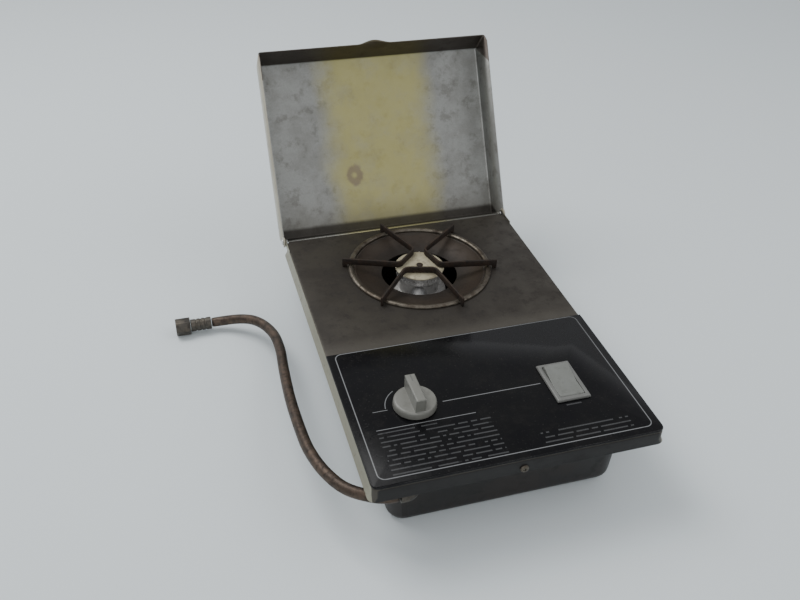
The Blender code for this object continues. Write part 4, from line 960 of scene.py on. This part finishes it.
@dataclass
class Lid:
    """The open lid: a pan of sheet with a finger lift, its ears, corner seams and spot welds."""

    half: float = 0.151
    length: float = 0.228
    over_pivot: float = 0.0398
    under_pivot: float = 0.0042
    front_depth: float = 0.0358
    front_flare: float = 0.011
    chamfer: float = 0.003
    sheet: float = 0.001
    bend: float = 0.0022
    open_angle: float = math.radians(119)
    pivot: tuple[float, float, float] = (0.0, 0.2215, 0.088)
    lift_width: float = 0.046
    lift_out: float = 0.0052
    lift_rise: float = 0.0026
    lift_band: float = 0.014
    notch: tuple[float, float] = (0.0045, 0.0085)
    ear_radius: float = 0.007
    ear_inner: float = 0.1506
    ear_outer: float = 0.1526

    @property
    def swung(self) -> Matrix:
        """Where the closed shape, with its hinge line through the origin, goes when the lid is open."""
        return Matrix.Translation(self.pivot) @ Matrix.Rotation(-self.open_angle, 4, "X")

    def skin(self) -> bmesh.types.BMesh:
        """The inner skin of the pan, closed over the deck.

        Returns:
            The open shell, its faces looking outward.
        """
        bm = block((-self.half, -self.length, -self.under_pivot), (self.half, 0.0, self.over_pivot))
        bmesh.ops.delete(bm, geom=[face for face in bm.faces if face.normal.z < -0.9], context="FACES")
        edge_z = self.over_pivot - self.front_depth
        for vert in bm.verts:
            if vert.co.y < -self.length / 2 and vert.co.z < 0:
                vert.co.y -= self.front_flare
                vert.co.z = edge_z
        sides = [e for e in bm.edges if e.is_boundary and abs(e.verts[0].co.x - e.verts[1].co.x) < 1e-5]
        for edge in sides:
            rear = max(edge.verts, key=lambda vert: vert.co.y)
            _, corner = bmesh.utils.edge_split(edge, rear, 0.5)
            corner.co.y = -self.length - self.chamfer
            corner.co.z = -self.under_pivot
        ease(bm, [edge for edge in bm.edges if not edge.is_boundary], self.bend, 5)
        self.press_finger_lift(bm, edge_z)
        self.notch_ends(bm)
        bmesh.ops.recalc_face_normals(bm, faces=bm.faces)
        bm.normal_update()
        if max(bm.faces, key=lambda face: face.calc_area()).normal.z < 0:
            bmesh.ops.reverse_faces(bm, faces=bm.faces)
        return bm

    def press_finger_lift(self, bm: bmesh.types.BMesh, edge_z: float) -> None:
        """Bulges the middle of the front wall's free edge.

        Args:
            bm: The skin.
            edge_z: Height of the front wall's free edge.
        """
        faces = [min(bm.faces, key=lambda face: face.calc_center_median().y)]
        columns, levels = 20, 6
        places = [self.lift_width * (i / columns - 0.5) for i in range(columns + 1)]
        cuts = [(Vector((x, 0, 0)), Vector((1, 0, 0))) for x in places]
        heights = [edge_z + self.lift_band * i / levels for i in range(1, levels + 1)]
        cuts += [(Vector((0, 0, z)), Vector((0, 0, 1))) for z in heights]
        faces = sliced(bm, faces, cuts)
        for vert in {vert for face in faces for vert in face.verts}:
            across = min(1.0, abs(vert.co.x) / (self.lift_width / 2))
            down = max(0.0, 1.0 - (vert.co.z - edge_z) / self.lift_band)
            bulge = math.cos(across * math.pi / 2) ** 2 * down**1.4
            vert.co.y -= self.lift_out * bulge
            vert.co.z += self.lift_rise * bulge

    def notch_ends(self, bm: bmesh.types.BMesh) -> None:
        """Cuts the rear wall back at both ends, where the deck's hinge tabs pass.

        Args:
            bm: The skin.
        """
        wall = [face for face in bm.faces if face.normal.y > 0.9 and face.calc_area() > 0.001]
        wide, high = self.notch
        places = [(Vector((side * (self.half - wide), 0, 0)), Vector((1, 0, 0))) for side in (-1, 1)]
        places += [(Vector((0, 0, high)), Vector((0, 0, 1)))]
        faces = sliced(bm, wall, places)
        gone = [
            face
            for face in faces
            if abs(face.calc_center_median().x) > self.half - wide and face.calc_center_median().z < high
        ]
        bmesh.ops.delete(bm, geom=gone, context="FACES")

    def build(self) -> None:
        """Makes the pan and its ears."""
        pan = piece(
            "lid_pan",
            moved(self.skin(), self.swung),
            (Finishes.LID_OUTSIDE, Finishes.LID_INSIDE),
            Body.LID,
            ("lid",),
        )
        shell = pan.modifiers.new("sheet", "SOLIDIFY")
        shell.thickness = self.sheet
        shell.offset = 1
        shell.use_even_offset = True
        shell.use_quality_normals = True
        shell.material_offset = 1
        shell.material_offset_rim = 1
        for side, label in ((-1, "left"), (1, "right")):
            self.ear(side, label)
            self.corner_seam(side, label)

    def ear(self, side: int, label: str) -> None:
        """Makes the round boss about one hinge pin.

        Args:
            side: -1 for left, 1 for right.
            label: The side's word.
        """
        wide = self.ear_outer - self.ear_inner
        edge = 0.0004
        profile = (
            (0.0, wide),
            (self.ear_radius - edge, wide),
            (self.ear_radius, wide - edge),
            (self.ear_radius, edge),
            (self.ear_radius - edge, 0.0),
            (0.0, 0.0),
        )
        out = Matrix.Translation((side * self.ear_inner, 0, 0)) @ Matrix.Rotation(side * math.pi / 2, 4, "Y")
        ear = moved(spun(profile, 40), self.swung @ out)
        piece(f"lid_ear_{label}", ear, (Finishes.LID_OUTSIDE,), Body.LID)

    def corner_seam(self, side: int, label: str) -> None:
        """Makes the lapped tab and its spot welds inside a front corner.

        Args:
            side: -1 for left, 1 for right.
            label: The side's word.
        """
        thick = 0.0006
        x = side * (self.half - thick - 0.0001)
        outer = side * (self.half - 0.0001)
        low = (min(x, outer), -self.length + 0.0015, self.over_pivot - self.front_depth + 0.003)
        high = (max(x, outer), -self.length + 0.0115, self.over_pivot - 0.003)
        tab = block(low, high)
        ease(tab, tab.edges[:], 0.00025, 2)
        shapes = [tab]
        for along in (0.25, 0.5, 0.75):
            z = low[2] + (high[2] - low[2]) * along
            weld = spun(((0.0, 0.0004), (0.0011, 0.0003), (0.0016, 0.0), (0.0, 0.0)), 20)
            face_in = Matrix.Rotation(-side * math.pi / 2, 4, "Y")
            shapes.append(moved(weld, Matrix.Translation((x, -self.length + 0.0065, z)) @ face_in))
        piece(f"lid_corner_{label}", moved(merged(shapes), self.swung), (Finishes.LID_INSIDE,), Body.LID)


@dataclass
class Burner:
    """The burner's ported body, its cap and the cap's screw."""

    y: float = 0.120
    deck: float = 0.091
    gap: float = 0.0003
    ring: float = 0.0285
    ring_height: float = 0.0105
    neck: float = 0.024
    flange: float = 0.034
    flange_height: float = 0.003
    foot: float = 0.0575
    cap: float = 0.0305
    cap_height: float = 0.0032
    ports: int = 32
    port_depth: float = 0.0016

    def build(self) -> None:
        """Makes the three pieces."""
        here = Matrix.Translation((0, self.y, 0))
        cup, cover, screw = (moved(bm, here) for bm in (self.cup(), self.cover(), self.screw()))
        piece("burner_cup", cup, (Finishes.BURNER,), Body.STOVE, ("burner_body",))
        piece("burner_lid", cover, (Finishes.CAP,), Body.STOVE, ("burner_cap",))
        piece("burner_screw", screw, (Finishes.BARS,), Body.STOVE, ("burner_cap_screw",))

    def cup(self) -> bmesh.types.BMesh:
        """The body, with its ports pressed in as slots round the ring.

        Returns:
            The closed shape.
        """
        top = self.deck - self.gap
        foot = top - self.ring_height
        shoulder = self.foot + self.flange_height
        profile = (
            (0.0, top),
            (self.ring - 0.0008, top),
            (self.ring - 0.0002, top - 0.0003),
            (self.ring, top - 0.0009),
            (self.ring, top - 0.0021),
            (self.ring, top - 0.0068),
            (self.ring, foot + 0.0012),
            (self.ring - 0.0006, foot + 0.0003),
            (self.neck + 0.0022, foot - 0.0003),
            (self.neck + 0.0008, foot - 0.0010),
            (self.neck, foot - 0.0026),
            (self.neck, shoulder + 0.0020),
            (self.neck + 0.0006, shoulder + 0.0006),
            (self.neck + 0.0020, shoulder),
            (self.flange - 0.0007, shoulder),
            (self.flange, shoulder - 0.0007),
            (self.flange, self.foot + 0.0006),
            (self.flange - 0.0006, self.foot),
            (0.0, self.foot),
        )
        bm = spun(profile, self.ports * 3)
        slots = []
        for face in bm.faces:
            middle = face.calc_center_median()
            turn = math.degrees(math.atan2(middle.y, middle.x)) % (360 / self.ports)
            in_ring = top - 0.0068 < middle.z < top - 0.0021 and middle.xy.length > self.ring - 0.0004
            if in_ring and turn < 360 / self.ports / 3:
                slots.append(face)
        for face in slots:
            outward = Vector((*face.calc_center_median().xy, 0)).normalized()
            bmesh.ops.inset_individual(bm, faces=[face], thickness=0.0001, depth=0.0)
            bmesh.ops.translate(bm, verts=face.verts, vec=-outward * self.port_depth)
        return bm

    def cover(self) -> bmesh.types.BMesh:
        """The cap, slightly crowned, with a shallow dimple for the screw.

        Returns:
            The closed shape.
        """
        top = self.deck + self.cap_height
        r = self.cap
        profile = (
            (0.0, top - 0.0005),
            (0.0046, top - 0.0005),
            (0.0054, top - 0.0001),
            (0.70 * r, top),
            (0.84 * r, top - 0.0001),
            (0.93 * r, top - 0.0004),
            (0.98 * r, top - 0.0010),
            (r, top - 0.0018),
            (r, self.deck + 0.0005),
            (r - 0.0004, self.deck),
            (0.0, self.deck),
        )
        return spun(profile, 96)

    def screw(self) -> bmesh.types.BMesh:
        """The dark screw in the cap's middle.

        Returns:
            The closed shape.
        """
        top = self.deck + self.cap_height
        profile = (
            (0.0, top + 0.0014),
            (0.0028, top + 0.0012),
            (0.0040, top + 0.0004),
            (0.0041, top - 0.0004),
            (0.0, top - 0.0004),
        )
        return spun(profile, 32)


@dataclass
class Grate:
    """The half-round ring and the three bent bars that stand on it."""

    y: float = 0.120
    deck: float = 0.091
    gap: float = 0.0003
    radius: float = 0.085
    width: float = 0.007
    ring_height: float = 0.0032
    bar_height: float = 0.008
    bar_thickness: float = 0.0025
    nose_out: float = 0.0176
    nose_width: float = 0.037
    reach: float = 0.0955
    spread: float = math.radians(30)
    foot_length: float = 0.0055
    bend: float = 0.006
    first: float = math.radians(15)

    def build(self) -> None:
        """Makes the ring and the bars."""
        half = self.width / 2
        high = self.ring_height
        arc = [math.pi * step / 12 for step in range(1, 12)]
        crest = [(self.radius - half * math.cos(a), high * (0.25 + 0.75 * math.sin(a))) for a in arc]
        profile = [(self.radius - half, 0.0), (self.radius - half, 0.25 * high), *crest]
        profile += [(self.radius + half, 0.25 * high), (self.radius + half, 0.0)]
        ring = moved(spun(profile, 128, True), Matrix.Translation((0, self.y, self.deck + self.gap)))
        piece("grate_hoop", ring, (Finishes.RING,), Body.GRATE, ("grate_ring",))
        for number in range(3):
            turn = Matrix.Rotation(self.first + number * 2 * math.pi / 3, 4, "Z")
            foot = self.deck + 2 * self.gap + self.ring_height
            bar = moved(self.bar(), Matrix.Translation((0, self.y, foot)) @ turn)
            name, node = f"grate_strip_{number + 1}", f"grate_bar_{number + 1}"
            piece(name, bar, (Finishes.BARS,), Body.GRATE, (node,), 50.0)

    def plan(self) -> list[Vector]:
        """The bar's centre line seen from above, pointing along +X.

        Returns:
            Its points from one foot to the other.
        """
        tip = Vector((self.reach * math.cos(self.spread), self.reach * math.sin(self.spread)))
        corner = Vector((self.nose_out, self.nose_width / 2))
        along = (tip - corner).normalized()
        half = [tip, tip - along * self.foot_length]
        half += [tip.lerp(corner, t) for t in (0.25, 0.45, 0.65)]
        start, end = corner + along * self.bend, corner - Vector((0.0, 1.0)) * self.bend
        for step in range(9):
            t = step / 8
            half.append((1 - t) ** 2 * start + 2 * t * (1 - t) * corner + t**2 * end)
        return half + [Vector((point.x, -point.y)) for point in reversed(half)]

    def bar(self) -> bmesh.types.BMesh:
        """One bar, its underside at Z = 0 and its feet below.

        Returns:
            The closed shape.
        """
        bm = bmesh.new()
        path = self.plan()
        verts = [bm.verts.new((point.x, point.y, 0.0)) for point in path]
        strip = [bm.edges.new(pair) for pair in zip(verts, verts[1:])]
        made = bmesh.ops.extrude_edge_only(bm, edges=strip)["geom"]
        raised = [item for item in made if isinstance(item, bmesh.types.BMVert)]
        bmesh.ops.translate(bm, verts=raised, vec=(0, 0, self.bar_height))
        for pair in (verts[:2], verts[-2:]):
            made = bmesh.ops.extrude_edge_only(bm, edges=[bm.edges.get(pair)])["geom"]
            lowered = [item for item in made if isinstance(item, bmesh.types.BMVert)]
            bmesh.ops.translate(bm, verts=lowered, vec=(0, 0, -self.ring_height - self.gap))
        bmesh.ops.recalc_face_normals(bm, faces=bm.faces)
        self.thicken(bm)
        bm.normal_update()
        sharp = [edge for edge in bm.edges if edge.is_manifold and edge.calc_face_angle() > math.radians(50)]
        ease(bm, sharp, 0.0005, 2)
        return bm

    def thicken(self, bm: bmesh.types.BMesh) -> None:
        """Gives the bar's middle sheet its thickness, half to each side.

        Args:
            bm: The sheet.
        """
        bm.normal_update()
        for vert in bm.verts:
            vert.co += vert.normal * self.bar_thickness / 2
        bmesh.ops.solidify(bm, geom=bm.faces[:], thickness=self.bar_thickness)
        bmesh.ops.recalc_face_normals(bm, faces=bm.faces)


@dataclass
class Knob:
    """The valve's knob: a skirted disc with a tall grip across it."""

    x: float = -0.080
    y: float = -0.120
    foot: float = 0.0943
    radius: float = 0.0227
    base_height: float = 0.0078
    grip_length: float = 0.041
    grip_width: float = 0.0115
    grip_height: float = 0.016

    def build(self) -> None:
        """Makes the knob."""
        top, r = self.base_height, self.radius
        profile = (
            (0.0, top),
            (0.84 * r, top),
            (0.90 * r, top - 0.0002),
            (0.94 * r, top - 0.0008),
            (0.965 * r, top - 0.0018),
            (0.975 * r, top - 0.0030),
            (r, 0.0006),
            (0.99 * r, 0.0),
            (0.0, 0.0),
        )
        disc = spun(profile, 96)
        half_x, half_y = self.grip_width / 2, self.grip_length / 2
        grip = block((-half_x, -half_y, 0.5 * top), (half_x, half_y, top + self.grip_height))
        for vert in grip.verts:
            if vert.co.z > top:
                vert.co.x *= 0.92
            else:
                vert.co.y *= 0.95
        upper = [edge for edge in grip.edges if all(vert.co.z > top for vert in edge.verts)]
        ease(grip, upper, 0.0018, 5)
        uprights = [edge for edge in grip.edges if abs(edge.verts[0].co.z - edge.verts[1].co.z) > 0.008]
        ease(grip, uprights, 0.0009, 3)
        whole = moved(merged((disc, grip)), Matrix.Translation((self.x, self.y, self.foot)))
        piece("knob_handle", whole, (Finishes.KNOB,), Body.KNOB, ("knob",))


@dataclass
class GasLine:
    """The rigid pipe, its sleeve with rolled grooves and the flare nut with its thread."""

    radius: float = 0.00635
    sleeve_radius: float = 0.00785
    sleeve_length: float = 0.0257
    nut_radius: float = 0.0112
    nut_length: float = 0.0181
    bore: float = 0.0062
    gap: float = 0.0003
    end: tuple[float, float, float] = (-0.2570, 0.1760, 0.0113)

    def build(self) -> None:
        """Makes the three pieces."""
        self.pipe()
        along = Matrix.Rotation(-math.pi / 2, 4, "Y")
        sleeve_at = Matrix.Translation((self.end[0] - self.gap, *self.end[1:])) @ along
        sleeve = moved(self.sleeve(), sleeve_at)
        piece("pipe_collar", sleeve, (Finishes.FITTING,), Body.STOVE, ("pipe_sleeve",))
        nut_at = Matrix.Translation((self.end[0] - 2 * self.gap - self.sleeve_length, *self.end[1:])) @ along
        nut = moved(self.nut(), nut_at)
        piece("pipe_nut", nut, (Finishes.FITTING,), Body.NUT, ("flare_nut",))

    def pipe(self) -> None:
        """Makes the pipe from the frame's own tube, rounder."""
        source = FRAME["nodes"]["gas_pipe"]
        bm = bmesh.new()
        bm.from_mesh(source.data)
        bmesh.ops.remove_doubles(bm, verts=bm.verts, dist=1e-6)
        bmesh.ops.join_triangles(
            bm, faces=bm.faces, angle_face_threshold=math.radians(40), angle_shape_threshold=math.radians(60)
        )
        tube = piece("gas_tube", bm, (Finishes.PIPE,), Body.STOVE, ("gas_pipe",), 60.0)
        round_out = tube.modifiers.new("round", "SUBSURF")
        round_out.levels = 2
        round_out.render_levels = 2

    def sleeve(self) -> bmesh.types.BMesh:
        """The sleeve, drawn along +Z.

        Returns:
            The closed shape.
        """
        r, length, edge = self.sleeve_radius, self.sleeve_length, 0.0007
        profile = [(0.0, length), (r - edge, length), (r, length - edge)]
        for groove in (0.72, 0.50, 0.28):
            z = groove * length
            profile += [(r, z + 0.0014), (r - 0.0007, z + 0.0007), (r - 0.0007, z - 0.0007), (r, z - 0.0014)]
        profile += [(r, edge), (r - edge, 0.0), (0.0, 0.0)]
        return spun(profile, 56)

    def nut(self) -> bmesh.types.BMesh:
        """The hexagonal nut, drawn along +Z, with a threaded bore at its far end.

        Returns:
            The closed shape.
        """
        bm = bmesh.new()
        middle = Matrix.Translation((0, 0, self.nut_length / 2))
        bmesh.ops.create_cone(
            bm, cap_ends=True, segments=6, radius1=self.nut_radius, radius2=self.nut_radius,
            depth=self.nut_length, matrix=middle,
        )
        uprights = [edge for edge in bm.edges if abs(edge.verts[0].co.z - edge.verts[1].co.z) > 0.01]
        ease(bm, uprights, 0.0009, 3)
        rim = [edge for edge in bm.edges if edge.is_manifold and edge.calc_face_angle() > math.radians(60)]
        ease(bm, rim, 0.0008, 3)
        far = max(bm.faces, key=lambda face: (face.calc_center_median().z, face.calc_area()))
        bmesh.ops.inset_individual(bm, faces=[far], thickness=0.0028, depth=0.0)
        for vert in far.verts:
            vert.co.xy = vert.co.xy.normalized() * self.bore
        for turn in range(9):
            made = bmesh.ops.extrude_discrete_faces(bm, faces=[far])["faces"]
            far = made[0]
            bmesh.ops.translate(bm, verts=far.verts, vec=(0, 0, -0.0012))
            wide = self.bore if turn % 2 else self.bore - 0.0006
            for vert in far.verts:
                vert.co.xy = vert.co.xy.normalized() * wide
        bmesh.ops.recalc_face_normals(bm, faces=bm.faces)
        return bm


@dataclass
class Fittings:
    """The deck, the tub and the small parts, worked over from the frame's own shapes."""

    parts: tuple[Softened, ...] = (
        Softened("deck_plate", Finishes.DECK, 0.0),
        Softened("tub", Finishes.TUB, 0.0),
        Softened("control_fascia", Finishes.FASCIA, 0.0005, 3),
        Softened("igniter_bezel", Finishes.BEZEL, 0.0005, 3),
        Softened("igniter_rocker", Finishes.PAD, 0.0007, 3),
        Softened("front_screw", Finishes.RING),
        Softened("hinge_pin_left", Finishes.STEEL),
        Softened("hinge_pin_right", Finishes.STEEL),
        Softened("lid_stop", Finishes.STEEL, 0.0002),
        Softened("burner_bracket", Finishes.STEEL, 0.0002),
        Softened("electrode_ceramic", Finishes.CERAMIC),
        Softened("electrode_wire", Finishes.STEEL, 0.0),
        Softened("igniter_lead", Finishes.RUBBER, 0.0),
        Softened("valve_bracket", Finishes.STEEL, 0.0002),
        Softened("valve_body", Finishes.BRASS),
        Softened("valve_nut", Finishes.STEEL),
        Softened("valve_stem", Finishes.STEEL, 0.0),
        Softened("gas_jet", Finishes.BRASS),
        Softened("mixing_tube", Finishes.STEEL, 0.0),
        Softened("inlet_elbow", Finishes.FITTING),
        Softened("inlet_nut", Finishes.FITTING, 0.0005),
        Softened("supply_tube", Finishes.PIPE, 0.0),
        Softened("igniter_rocker_pin", Finishes.STEEL, 0.0),
        Softened("piezo_body", Finishes.DARK),
        Softened("piezo_plunger", Finishes.STEEL),
        Softened("tub_screw_1", Finishes.STEEL),
        Softened("tub_screw_2", Finishes.STEEL),
        Softened("tub_screw_3", Finishes.STEEL),
        Softened("tub_screw_4", Finishes.STEEL),
    )

    def build(self) -> None:
        """Works each part over."""
        for part in self.parts:
            part.build()


@dataclass
class Studio:
    """The pale floor, the soft lights and the camera."""

    lens: float = 39.57
    camera_at: tuple[float, float, float] = (-0.2914, -0.7377, 0.7018)
    camera_turn: tuple[float, float, float] = (53.782, -1.394, -16.292)
    floor_colour: Colour = (0.74, 0.80, 0.82)

    def build(self) -> None:
        """Makes all of it."""
        self.camera()
        self.floor()
        self.light("key", (-0.9, 0.9, 1.9), 1.3, 30.0)
        self.light("fill", (1.4, -0.6, 1.5), 1.6, 9.0)
        self.light("front", (-0.6, -1.6, 1.2), 1.4, 8.0)
        world = bpy.data.worlds.new("soft_sky")
        world.use_nodes = True
        world.node_tree.nodes["Background"].inputs["Color"].default_value = (0.95, 0.97, 1.0, 1.0)
        world.node_tree.nodes["Background"].inputs["Strength"].default_value = 0.55
        bpy.context.scene.world = world

    def camera(self) -> None:
        """Makes the camera."""
        data = bpy.data.cameras.new("camera")
        data.lens = self.lens
        data.sensor_width = 36.0
        data.clip_start = 0.01
        obj = bpy.data.objects.new("camera", data)
        obj.location = self.camera_at
        obj.rotation_euler = [math.radians(angle) for angle in self.camera_turn]
        bpy.context.scene.collection.objects.link(obj)
        bpy.context.scene.camera = obj

    def floor(self) -> None:
        """Makes the floor."""
        bm = bmesh.new()
        bmesh.ops.create_grid(bm, x_segments=1, y_segments=1, size=6.0)
        mesh = bpy.data.meshes.new("floor")
        bm.to_mesh(mesh)
        bm.free()
        obj = bpy.data.objects.new("floor", mesh)
        obj.location.z = -0.0004
        bpy.context.scene.collection.objects.link(obj)
        material = bpy.data.materials.new("floor_paper")
        material.use_nodes = True
        shader = material.node_tree.nodes["Principled BSDF"]
        shader.inputs["Base Color"].default_value = (*self.floor_colour, 1.0)
        shader.inputs["Roughness"].default_value = 0.9
        mesh.materials.append(material)

    def light(self, name: str, at: Sequence[float], size: float, power: float) -> None:
        """Makes a soft square light aimed at the stove.

        Args:
            name: The light's name.
            at: Its place.
            size: Its side.
            power: Its power in watts.
        """
        data = bpy.data.lights.new(name, "AREA")
        data.size = size
        data.energy = power
        obj = bpy.data.objects.new(name, data)
        obj.location = at
        obj.rotation_euler = (Vector((0, 0, 0.1)) - Vector(at)).to_track_quat("-Z", "Y").to_euler()
        bpy.context.scene.collection.objects.link(obj)


def main() -> None:
    """Builds the stove's looks in order."""
    logging.basicConfig(level=logging.INFO, format="%(name)s %(message)s")
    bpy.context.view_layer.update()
    builders: tuple[Callable[[], object], ...] = (Studio, Fittings, Lid, Burner, Grate, Knob, GasLine)
    for builder in builders:
        builder().build()


if __name__ == "__main__":
    main()
